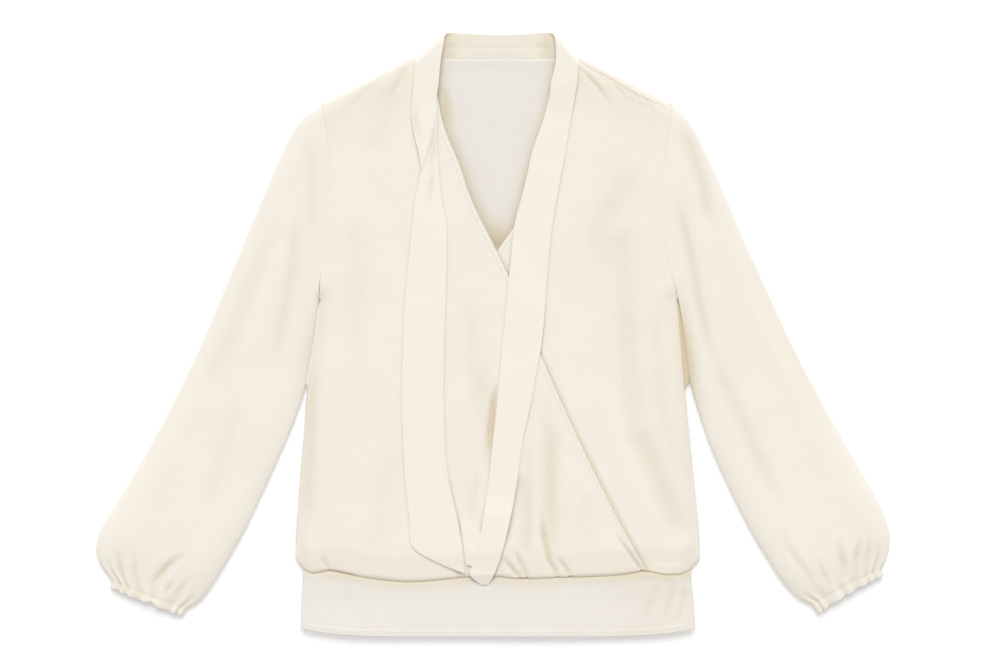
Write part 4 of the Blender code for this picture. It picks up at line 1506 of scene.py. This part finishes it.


# Creases of both sleeves' upper side
SLEEVE_CREASES = (
    # soft folds that run down from the shoulders
    Crease(((-226.0, 240.0), (-222.0, 172.0), (-226.0, 110.0)), 8.0, 1.2),
    Crease(((-240.0, 150.0), (-247.0, 78.0), (-257.0, 20.0), (-272.0, -50.0)), 8.0, 1.6),
    Crease(((-252.0, 120.0), (-272.0, 40.0), (-300.0, -40.0)), 12.0, -1.0),
    Crease(((-262.0, 140.0), (-310.0, 20.0), (-360.0, -90.0)), 12.0, 0.8),
    Crease(((-340.0, -40.0), (-380.0, -120.0), (-410.0, -190.0)), 14.0, -0.8),
    Crease(((-310.0, -80.0), (-330.0, -150.0), (-350.0, -220.0)), 10.0, 0.8),
    Crease(((216.0, 258.0), (234.0, 217.0), (246.0, 179.0), (254.0, 120.0)), 8.0, 2.0),
    Crease(((214.0, 170.0), (234.0, 78.0), (244.0, 22.0), (260.0, -45.0)), 6.0, 2.2),
    Crease(((226.0, 190.0), (246.0, 100.0), (262.0, 10.0)), 9.0, -1.0),
    Crease(((252.0, -10.0), (280.0, -80.0), (312.0, -150.0), (340.0, -214.0)), 9.0, 1.4),
    Crease(((262.0, 130.0), (310.0, 20.0), (372.0, -110.0)), 12.0, -0.9),
    Crease(((290.0, 110.0), (340.0, 0.0), (400.0, -120.0)), 14.0, 0.7),
    # gathers that spread from the cuffs
    Crease(((-446.0, -306.0), (-453.0, -282.0), (-458.0, -250.0)), 3.6, 2.0, 0.6),
    Crease(((-432.0, -310.0), (-436.0, -288.0), (-436.0, -256.0)), 3.4, 1.8, 0.6),
    Crease(((-416.0, -316.0), (-414.0, -300.0), (-396.0, -278.0), (-368.0, -256.0)), 5.0, 3.0, 0.5),
    Crease(((-404.0, -320.0), (-396.0, -306.0), (-384.0, -290.0)), 3.6, 1.8, 0.6),
    Crease(((-392.0, -322.0), (-376.0, -300.0), (-362.0, -286.0)), 4.0, 2.0, 0.6),
    Crease(((392.0, -322.0), (374.0, -292.0), (352.0, -262.0), (330.0, -222.0)), 5.0, 2.0, 0.6),
    Crease(((402.0, -314.0), (392.0, -292.0), (380.0, -262.0)), 4.0, 1.8, 0.6),
    Crease(((414.0, -308.0), (414.0, -276.0), (404.0, -238.0)), 4.4, 2.6, 0.6),
    Crease(((426.0, -302.0), (430.0, -266.0), (436.0, -232.0)), 4.0, 2.6, 0.6),
    Crease(((438.0, -296.0), (444.0, -262.0), (446.0, -228.0)), 3.6, 2.2, 0.6),
    Crease(((450.0, -288.0), (456.0, -266.0), (454.0, -240.0)), 3.4, 1.8, 0.6),
)

# Painted shade where the sleeves dip beside the body
UNDERARM_SHADES = (
    Crease(((-212.0, 84.0), (-220.0, 10.0), (-232.0, -66.0), (-250.0, -120.0)), 13.0, 0.25, 0.5),
    Crease(((212.0, 84.0), (222.0, 10.0), (234.0, -66.0), (252.0, -120.0)), 10.0, 0.7, 0.5),
)


@dataclass
class Sleeve:
    """A long full sleeve that balloons above its narrow elastic cuff, sleeve and cuff in one."""

    side: Side
    finishes: Finishes
    thickness: float = 0.8
    seam_gap: float = 0.5
    seam_ridge: float = 0.3
    seam_ridge_at: float = 0.12
    seam_ridge_width: float = 0.08
    seam_tuck: float = 0.35
    seam_tuck_width: float = 0.03
    cap_end: float = 2.0
    armhole_end: float = 6.0
    gather_start: float = 9.0
    bow_start: float = 8.0
    underarm_room: float = 1.1
    underarm_part: float = 0.8
    underarm_blend: float = 0.15
    edge_round: float = 30.0
    round_share: float = 0.45
    flat_height: float = 8.0
    fullness: float = 0.5
    corner: float = 2.2
    corner_growth: float = 2.0
    corner_inset: float = 0.15
    upper_share: float = 0.9
    upper_columns: int = 190
    upper_weight: float = 0.75
    lower_columns: int = 50
    lower_weight: float = 0.5
    shoulder_rings: int = 28
    arm_rings: int = 78
    gather_rings: int = 64
    cuff_rings: int = 12
    seed: int = 31
    waves: int = 8
    wave_drift: tuple[tuple[float, float, float], ...] = ((1.1, 3.0, 0.0), (0.7, 8.0, 1.0))
    wave_height: float = 1.0
    wave_reach: float = 2.2
    wave_spread: float = 0.25
    wave_turns: float = 9.0
    edge_wave: float = 0.7
    lower_tuck: float = 2.5
    pinch: float = 0.5
    pinch_width: float = 0.25
    # Painted shade between the cuff's pleats and in the sleeve's creases
    pleat_shade: float = 0.12
    crease_full: float = 6.5
    arch_part: float = 0.56
    arch_width: float = 0.075
    arch_rise: float = 2.2
    arch_reach: float = 3.4
    flat: tuple[float, float] = (0.36, 0.62)
    flat_area: float = 0.15

    def section(self, width: float, height: float, corner: float) -> tuple[np.ndarray, np.ndarray]:
        """Fractions across and heights round one ring, flat below and domed above.

        Args:
            width: Width of the ring.
            height: Height of the dome.
            corner: Height of the ring at its two edges.

        Returns:
            The fractions and the heights.
        """
        inset = corner / width
        below = np.clip(end_weighted(self.lower_columns, self.lower_weight), inset, 1 - inset)
        above = end_weighted(self.upper_columns, self.upper_weight)[::-1]
        radius = min(self.edge_round, self.round_share * width)
        dome = corner + (height - corner) * rounded(np.minimum(above, 1 - above) * width, radius)
        edge = inset * self.corner_inset
        flat = np.zeros(self.lower_columns)
        part = np.concatenate([below, [1 - edge], above, [edge]])
        return part, np.concatenate([flat, [corner / 2], dome, [corner / 2]])

    def gathers(self, part: np.ndarray) -> np.ndarray:
        """Uneven pleats across the cuff seam, from -1 to 1.

        Args:
            part: Fraction across, from the outer to the inner edge.

        Returns:
            The height of the pleats at each fraction.
        """
        turn = np.arccos(np.clip(2 * part - 1, -1, 1))
        angle = 2 * self.waves * turn
        for amount, times, start in self.wave_drift:
            angle = angle + amount * np.sin(times * turn + start)
        return np.cos(angle)

    def places(self) -> np.ndarray:
        """Places of the rings, counted in stations from the armhole to the cuff's edge.

        Returns:
            The places, rising.
        """
        last = len(SLEEVE[self.side]) - 1
        return np.concatenate([
            np.linspace(0.0, self.cap_end, self.shoulder_rings),
            np.linspace(self.cap_end, self.gather_start, self.arm_rings)[1:],
            np.linspace(self.gather_start, CUFF_STATION, self.gather_rings)[1:],
            np.linspace(CUFF_STATION, last, self.cuff_rings)[1:],
        ])

    def armhole_shift(self, part: np.ndarray) -> np.ndarray:
        """How far the armhole's curve lies from the straight line between its ends.

        Args:
            part: Fraction across, from the outer to the inner edge.

        Returns:
            X and Y to add at each fraction.
        """
        first = np.array(SLEEVE[self.side][0])
        chord = first[None, 0:2] * (1 - part[:, None]) + first[None, 2:4] * part[:, None]
        arm_y = SHOULDER_TIP_Y + (UNDERARM_Y - SHOULDER_TIP_Y) * part
        return np.stack([FORM.edge_x(self.side, arm_y), arm_y], axis=1) - chord

    def seam_height(self, place: float, x: np.ndarray, y: np.ndarray, corner: float) -> np.ndarray:
        """Height by the armhole seam: tucked under the body's edge, then a small ridge.

        Args:
            place: Place along the sleeve, counted in stations.
            x: X of the places.
            y: Y of the places.
            corner: Height of the ring at its two edges.

        Returns:
            The heights.
        """
        level = FORM.top_height(x - self.side.sign * self.seam_gap, y) - FORM.back_z
        ridge = self.seam_ridge * bump(place - self.seam_ridge_at, self.seam_ridge_width)
        return np.maximum(level, corner) + (ridge - self.seam_tuck * bump(place, self.seam_tuck_width))

    def ring(self, place: float) -> tuple[np.ndarray, np.ndarray]:
        """One ring round the sleeve, at a place counted in stations, and its painted shade.

        Args:
            place: Place along the sleeve, counted in stations.

        Returns:
            The points of the ring and the painted shade of each, from 0 to 1.
        """
        sign = self.side.sign
        stations = SLEEVE[self.side]
        ends = smooth_values(range(len(stations)), stations, np.array(place))
        outer, inner = ends[0:2], ends[2:4]
        height = self.flat_height + (float(ends[4]) - self.flat_height) * self.fullness
        width = float(np.linalg.norm(inner - outer))
        across = (inner - outer) / width
        outer = outer + across * FORM.wall / 2
        inner = inner - across * FORM.wall / 2
        width -= FORM.wall
        from_top = ramp(place / self.armhole_end)
        corner = self.corner + self.corner_growth * from_top
        part, lift = self.section(width, height, corner)
        upper = lift > corner * self.upper_share
        # plan of the ring: straight across, bent to the armhole or the cuff
        down = max(place - CUFF_STATION, 0.0)
        wave = np.where(upper, self.gathers(part), 0.0)
        arch = bump(part - self.arch_part, self.arch_width) * upper * down * (self.side is Side.RIGHT)
        bow = CUFF_BOW[self.side] * 4 * part * (1 - part)
        bow = bow * ramp((place - self.bow_start) / (CUFF_STATION - self.bow_start))
        bow = bow + self.edge_wave * wave * down - self.arch_reach * arch
        bow = bow - np.where(upper, 0.0, self.lower_tuck * down)
        hand = np.array([across[1], -across[0]]) * -sign
        plan = outer + (inner - outer) * part[:, None] + self.armhole_shift(part) * (1 - from_top)
        plan = plan + hand[None, :] * bow[:, None]
        underarm = smooth_step((part - self.underarm_part) / self.underarm_blend)
        plan[:, 0] += sign * (self.seam_gap + self.underarm_room * underarm) * (1 - from_top)
        x, y = plan[:, 0], plan[:, 1]
        # height of the ring: folds and crinkle, then pleats towards the cuff
        folds = crease_relief(SLEEVE_CREASES, x, y)
        reach = self.wave_reach * (1 - self.wave_spread + self.wave_spread * np.sin(self.wave_turns * part))
        pleats = smooth_step((place - CUFF_STATION + reach) / reach)
        relief = folds + Crinkle(self.seed).relief(x, y) + self.wave_height * pleats * wave
        relief = relief + self.arch_rise * arch - self.pinch * bump(place - CUFF_STATION, self.pinch_width)
        rise = rounded(np.minimum(part, 1 - part) * width, self.edge_round / 2)
        lift = lift + np.where(upper, relief * rise, 0.0)
        if place < self.cap_end:
            seam = self.seam_height(place, x, y, corner)
            lift = np.where(upper, seam + (lift - seam) * ramp(place / self.cap_end), lift)
        # Painted shade on the upper side only: darker in creases, in the underarm and between the cuff's
        # pleats
        painted_shade = np.maximum(-folds, 0.0) / self.crease_full - crease_relief(UNDERARM_SHADES, x, y)
        painted_shade = painted_shade + self.pleat_shade * pleats * (1 - wave)
        return np.stack([x, y, FORM.back_z + lift], axis=1), np.where(upper, painted_shade, 0.0)

    def grid(self) -> tuple[np.ndarray, np.ndarray]:
        """Middle surface, in rings from the armhole to the cuff's edge, and its painted shade."""
        rings, painted_shade_maps = zip(*(self.ring(float(place)) for place in self.places()))
        return np.stack(rings), np.stack(painted_shade_maps)

    def build(self) -> list[bpy.types.Object]:
        """Make the sleeve.

        Returns:
            The sleeve.
        """
        name = f"sleeve_{self.side.value}"
        grid, painted_shade_map = self.grid()
        sleeve = sheet_object(f"{name}_crepe", grid, self.thickness, closed=True, painted_shade_map=painted_shade_map)
        dress(sleeve, self.finishes.crepe, Slot.CREPE, name, f"cuff_{self.side.value}")
        return [sleeve]


@dataclass
class Scarf:
    """The band behind the neck and both ties: one double strip, folded over at the neck's corners."""

    finishes: Finishes
    thickness: float = 1.7
    columns: int = 34
    edge_weight: float = 0.4
    rows: int = 220
    seed: int = 41
    lift: float = 1.5
    top_y: float = 363.0
    seam_y: float = 333.0
    end_y: float = 306.0
    blend_y: float = 260.0
    fold_radius: float = 4.7
    low_z: float = 1.0
    front_steps: int = 14
    fold_steps: int = 22
    inner_steps: int = 22
    dip: float = 2.6
    ripple: float = 0.25
    ripple_turns: float = 9.0
    band_rise: float = 0.4
    band_crease_part: float = 0.56
    band_crease_width: float = 0.1
    band_crease_blend: float = 0.2
    least_z: float = 0.9
    crown: float = 0.35
    wrap_step_at: float = 14.0
    wrap_step_width: float = 22.0
    twist_rise: float = 1.3
    twist_width: float = 2.6
    twist_ridge: float = 0.3
    twist_ridge_at: float = 2.2
    twist_ridge_width: float = 3.0
    twist_top_y: float = 286.0
    twist_top_blend: float = 40.0
    twist_low_y: float = 176.0
    twist_low_blend: float = 20.0
    inset_blend: float = 20.0
    loop_rise: float = 2.2
    loop_top_y: float = -190.0
    loop_blend: float = 30.0
    tip_slope: float = 0.35
    tip_start: float = 2.0
    # Painted shade along the twist and inside the band, darker at the neck's corners
    crease_shade: float = 0.4
    inside_shade: float = 0.2
    inside_y: float = 326.0
    corner_shade: float = 0.3
    corner_x: float = 60.0
    corner_width: float = 9.0
    flat: tuple[float, float] = (0.05, 1.52)
    flat_area: float = 0.06
    ridge: tuple[Edge, ...] = (
        Edge(182.0, -97.0), Edge(202.0, -90.5), Edge(216.0, -85.5), Edge(231.0, -81.0),
        Edge(247.0, -77.0), Edge(268.0, -74.4), Edge(290.0, -73.8),
    )
    creases: tuple[Crease, ...] = (
        Crease(((-75.0, 262.0), (-76.0, 236.0), (-78.0, 214.0), (-86.0, 186.0)), 4.5, 0.9, 0.5),
        Crease(((-98.0, 286.0), (-99.0, 256.0), (-92.0, 226.0)), 4.0, 0.8, 0.5),
        Crease(((-76.0, 205.0), (-80.0, 180.0), (-84.0, 150.0)), 3.0, 0.8, 0.5),
    )

    @property
    def high_z(self) -> float:
        """Height of the band's outer layer, over its fold."""
        return self.low_z + 2 * self.fold_radius

    def half(self, side: Side, part: float) -> np.ndarray:
        """Points of half the band, at one fraction across, from the tie to the centre.

        Args:
            side: The wearer's side.
            part: Fraction across the band, from its upper edge to its seam.

        Returns:
            The points.
        """
        reach = math.pi * self.fold_radius / math.sqrt(2)
        sign = side.sign
        corner_x = BAND_INNER_X[side] + (BAND_OUTER_X[side] - BAND_INNER_X[side]) * part
        corner_y = self.top_y + (self.seam_y - self.top_y) * part
        top = TIE[side][0]
        end_x = top.inner_x + (top.outer_x - top.inner_x) * part
        turns = np.linspace(math.pi, 0.0, self.fold_steps)
        out = self.fold_radius * np.sin(turns) / math.sqrt(2)
        slide = self.fold_radius * (turns - math.pi / 2) / math.sqrt(2)
        fold = np.stack([
            corner_x - sign * reach / 2 + sign * (out + slide),
            corner_y - reach / 2 + out - slide,
            self.low_z + self.fold_radius * (1 - np.cos(turns)),
        ], axis=1)
        share = np.linspace(0.0, 1.0, self.front_steps, endpoint=False)[1:, None]
        front = np.array([[end_x, self.end_y, self.high_z]]) * (1 - share) + fold[:1] * share
        front[:, 0] += sign * BAND_BOW[side] * (1 - part) * 4 * share[:, 0] * (1 - share[:, 0])
        fraction = np.linspace(1.0, 0.0, self.inner_steps, endpoint=False)[1:]
        dip = self.dip * (1 - part) * (1 - fraction ** 2)
        ripple = self.ripple * math.sin(math.pi * part) * np.sin(fraction * self.ripple_turns)
        crease = bump(part - self.band_crease_part, self.band_crease_width)
        crease = crease * smooth_step((1 - fraction) / self.band_crease_blend)
        z = self.low_z + ripple + self.band_rise * (1 - crease)
        inner = np.stack([fold[-1, 0] * fraction, corner_y - dip, np.maximum(z, self.least_z)], axis=1)
        return np.concatenate([front, fold, inner])

    def base(self, side: Side, x: np.ndarray, y: np.ndarray) -> np.ndarray:
        """Height of the cloth under a tie.

        Args:
            side: The wearer's side.
            x: X of the places.
            y: Y of the places.

        Returns:
            The heights.
        """
        floor = np.maximum(y, FORM.roll_centre_y(x))
        z = FORM.top_height(x, floor)
        if side is Side.LEFT:
            beyond = x - read(FRONT_EDGE[Side.RIGHT], floor, "y", "x") - self.wrap_step_at
            z = z - FORM.layer * smooth_step(beyond / self.wrap_step_width)
        return z

    def twist(self, x: np.ndarray, y: np.ndarray) -> np.ndarray:
        """Step of the half twist: the upper face stands above what lies right of its folded edge.

        Args:
            x: X of the places.
            y: Y of the places.

        Returns:
            The height to add.
        """
        edge = np.interp(y, [point.y for point in self.ridge], [point.x for point in self.ridge])
        above = 1 - smooth_step((x - edge) / self.twist_width + 0.5)
        fade = smooth_step((self.twist_top_y - y) / self.twist_top_blend)
        fade = fade * smooth_step((y - self.twist_low_y) / self.twist_low_blend)
        ridge = self.twist_ridge * bump(x - edge + self.twist_ridge_at, self.twist_ridge_width)
        return self.twist_rise * fade * (above + ridge)

    def tie(self, side: Side) -> np.ndarray:
        """Middle surface of one tie, from the band to its tip.

        Args:
            side: The wearer's side.

        Returns:
            Rows, columns and x, y, z.
        """
        rows = TIE[side]
        place = np.linspace(0.0, len(rows) - 1, self.rows)
        ends = smooth_values(range(len(rows)), rows, place)
        part = end_weighted(self.columns, self.edge_weight)[None, :, None]
        inset = self.thickness / 2 / np.linalg.norm(ends[:, 2:4] - ends[:, 0:2], axis=1)[:, None, None]
        inset = inset * smooth_step((self.end_y - ends[:, 1]) / self.inset_blend)[:, None, None]
        share = inset + (1 - 2 * inset) * part
        plan = ends[:, None, 0:2] * (1 - share) + ends[:, None, 2:4] * share
        x, y = plan[..., 0], plan[..., 1]
        across = np.sin(math.pi * part[..., 0])
        z = self.base(side, x, y) + self.lift
        z = z + self.crown * across * (1 + Crinkle(self.seed).relief(2 * x, y))
        if side is Side.RIGHT:
            z = z + self.twist(x, y) + crease_relief(self.creases, x, y)
        else:
            z = z + self.loop_rise * smooth_step((self.loop_top_y - y) / self.loop_blend)
            z = z - self.tip_slope * np.maximum(FORM.roll_centre_y(x) - y - self.tip_start, 0.0)
        near_band = smooth_step((y - self.blend_y) / (self.end_y - self.blend_y))
        return np.stack([x, y, z + (self.high_z - z) * near_band], axis=2)

    def grid(self) -> np.ndarray:
        """Middle surface from one tip, up round the neck and down to the other tip.

        Returns:
            Rows, columns and x, y, z.
        """
        parts = end_weighted(self.columns, self.edge_weight)
        halves = [np.stack([self.half(side, 1 - part) for part in parts], axis=1) for side in Side]
        middle = (halves[0][-1:] + halves[1][-1:]) / 2
        middle[..., 0] = 0.0
        return np.concatenate([
            self.tie(Side.RIGHT)[::-1], halves[0], middle, halves[1][::-1], self.tie(Side.LEFT),
        ])

    def painted_shade_map(self, grid: np.ndarray) -> np.ndarray:
        """How much painted shade each point gets, from 0 to 1: along the twist, and inside the band, darker
        at the neck's corners.

        Args:
            grid: Rows, columns and x, y, z of the middle surface.

        Returns:
            One value for each point of the grid.
        """
        x, y, z = grid[..., 0], grid[..., 1], grid[..., 2]
        inside = (y > self.inside_y) & (z < self.low_z + self.fold_radius)
        corner = self.inside_shade + self.corner_shade * bump(np.abs(x) - self.corner_x, self.corner_width)
        painted_shade = np.maximum(-crease_relief(self.creases, x, y), 0.0) * self.crease_shade
        return np.where(inside, corner, painted_shade)

    def build(self) -> list[bpy.types.Object]:
        """Make the band and its ties.

        Returns:
            The scarf.
        """
        grid = self.grid()
        scarf = doubled_object("neck_scarf_crepe", grid, self.thickness, self.painted_shade_map(grid))
        dress(scarf, self.finishes.double, Slot.CREPE_DOUBLE, "neck_band", "tie_right", "tie_left")
        return [scarf]


@dataclass
class TieLoop:
    """Small loop where the ties cross at the lower edge."""

    finishes: Finishes
    thickness: float = 1.7
    columns: int = 22
    rows: int = 30
    lift: float = 1.5
    inset: float = 1.2
    ripple: float = 0.2
    ripple_x: float = 2.7
    ripple_y: float = 6.0
    flat: tuple[float, float] = (0.04, 0.05)
    flat_area: float = 0.0013

    def grid(self) -> np.ndarray:
        """Middle surface of the loop.

        Returns:
            Rows, columns and x, y, z.
        """
        place = np.linspace(0.0, len(LOOP) - 1, self.rows)
        ends = smooth_values(range(len(LOOP)), LOOP, place)
        part = np.linspace(0.0, 1.0, self.columns)[None, :, None]
        plan = ends[:, None, 0:2] * (1 - part) + ends[:, None, 2:4] * part
        x = plan[..., 0] + self.inset * (1 - part[..., 0])
        y = plan[..., 1]
        z = FORM.top_height(x, np.maximum(y, FORM.roll_centre_y(x))) + self.lift
        z = z + self.ripple * np.sin(x / self.ripple_x + y / self.ripple_y)
        return np.stack([x, y, z], axis=2)

    def build(self) -> list[bpy.types.Object]:
        """Make the loop.

        Returns:
            The loop.
        """
        loop = doubled_object("tie_loop_crepe", self.grid(), self.thickness)
        dress(loop, self.finishes.double, Slot.CREPE_DOUBLE, "tie_loop")
        return [loop]


@dataclass
class Studio:
    """White paper, a broad soft key from the neck side, even fill and the camera overhead."""

    finishes: Finishes
    floor_half: float = 3.0
    floor_z: float = -0.0002
    key_strength: float = 1.62
    key_angle: float = 40.0
    key_tilt: float = 42.0
    key_turn: float = 0.0
    fill_strength: float = 0.6
    camera_x: float = 0.0072
    camera_y: float = -0.0012
    camera_z: float = 3.368
    lens: float = 100.0
    sensor: float = 36.0
    far_clip: float = 50.0

    def floor(self) -> bpy.types.Object:
        """Make the paper under the garment.

        Returns:
            The paper.
        """
        half = self.floor_half / MM
        corners = np.array([(-half, -half), (half, -half), (half, half), (-half, half)])
        points = np.column_stack([corners, np.full(4, self.floor_z / MM)])
        paper = link_mesh("floor", points, [(0, 1, 2, 3)])
        paper.data.materials.append(self.finishes.paper)
        return paper

    def light(self) -> None:
        """Add the key and the even fill."""
        key = bpy.data.lights.new("key", "SUN")
        key.energy = self.key_strength
        key.angle = math.radians(self.key_angle)
        lamp = bpy.data.objects.new("key", key)
        lamp.rotation_euler = (-math.radians(self.key_tilt), 0.0, math.radians(self.key_turn))
        bpy.context.scene.collection.objects.link(lamp)
        world = bpy.data.worlds.new("fill")
        world.use_nodes = True
        sky = world.node_tree.nodes["Background"]
        sky.inputs["Color"].default_value = hex_linear("#FFFFFF")
        sky.inputs["Strength"].default_value = self.fill_strength
        bpy.context.scene.world = world

    def camera(self) -> None:
        """Add the camera, straight above the garment."""
        view = bpy.data.cameras.new("overhead")
        view.lens = self.lens
        view.sensor_width = self.sensor
        view.clip_end = self.far_clip
        holder = bpy.data.objects.new("overhead", view)
        holder.location = (self.camera_x, self.camera_y, self.camera_z)
        bpy.context.scene.collection.objects.link(holder)
        bpy.context.scene.camera = holder

    def build(self) -> None:
        """Set up the whole studio."""
        self.floor()
        self.light()
        self.camera()
        bpy.context.scene.view_settings.view_transform = "Standard"


def main() -> None:
    """Build the blouse piece by piece, and log the name of each piece."""
    logging.basicConfig(level=logging.INFO, format="%(message)s")
    finishes = Finishes()
    Studio(finishes).build()
    sleeves = [Sleeve(side, finishes) for side in Side]
    for builder in (Back(finishes), Fronts(finishes), *sleeves, Scarf(finishes), TieLoop(finishes)):
        for piece in builder.build():
            LOG.info("made %s", piece.name)


if __name__ == "__main__":
    main()
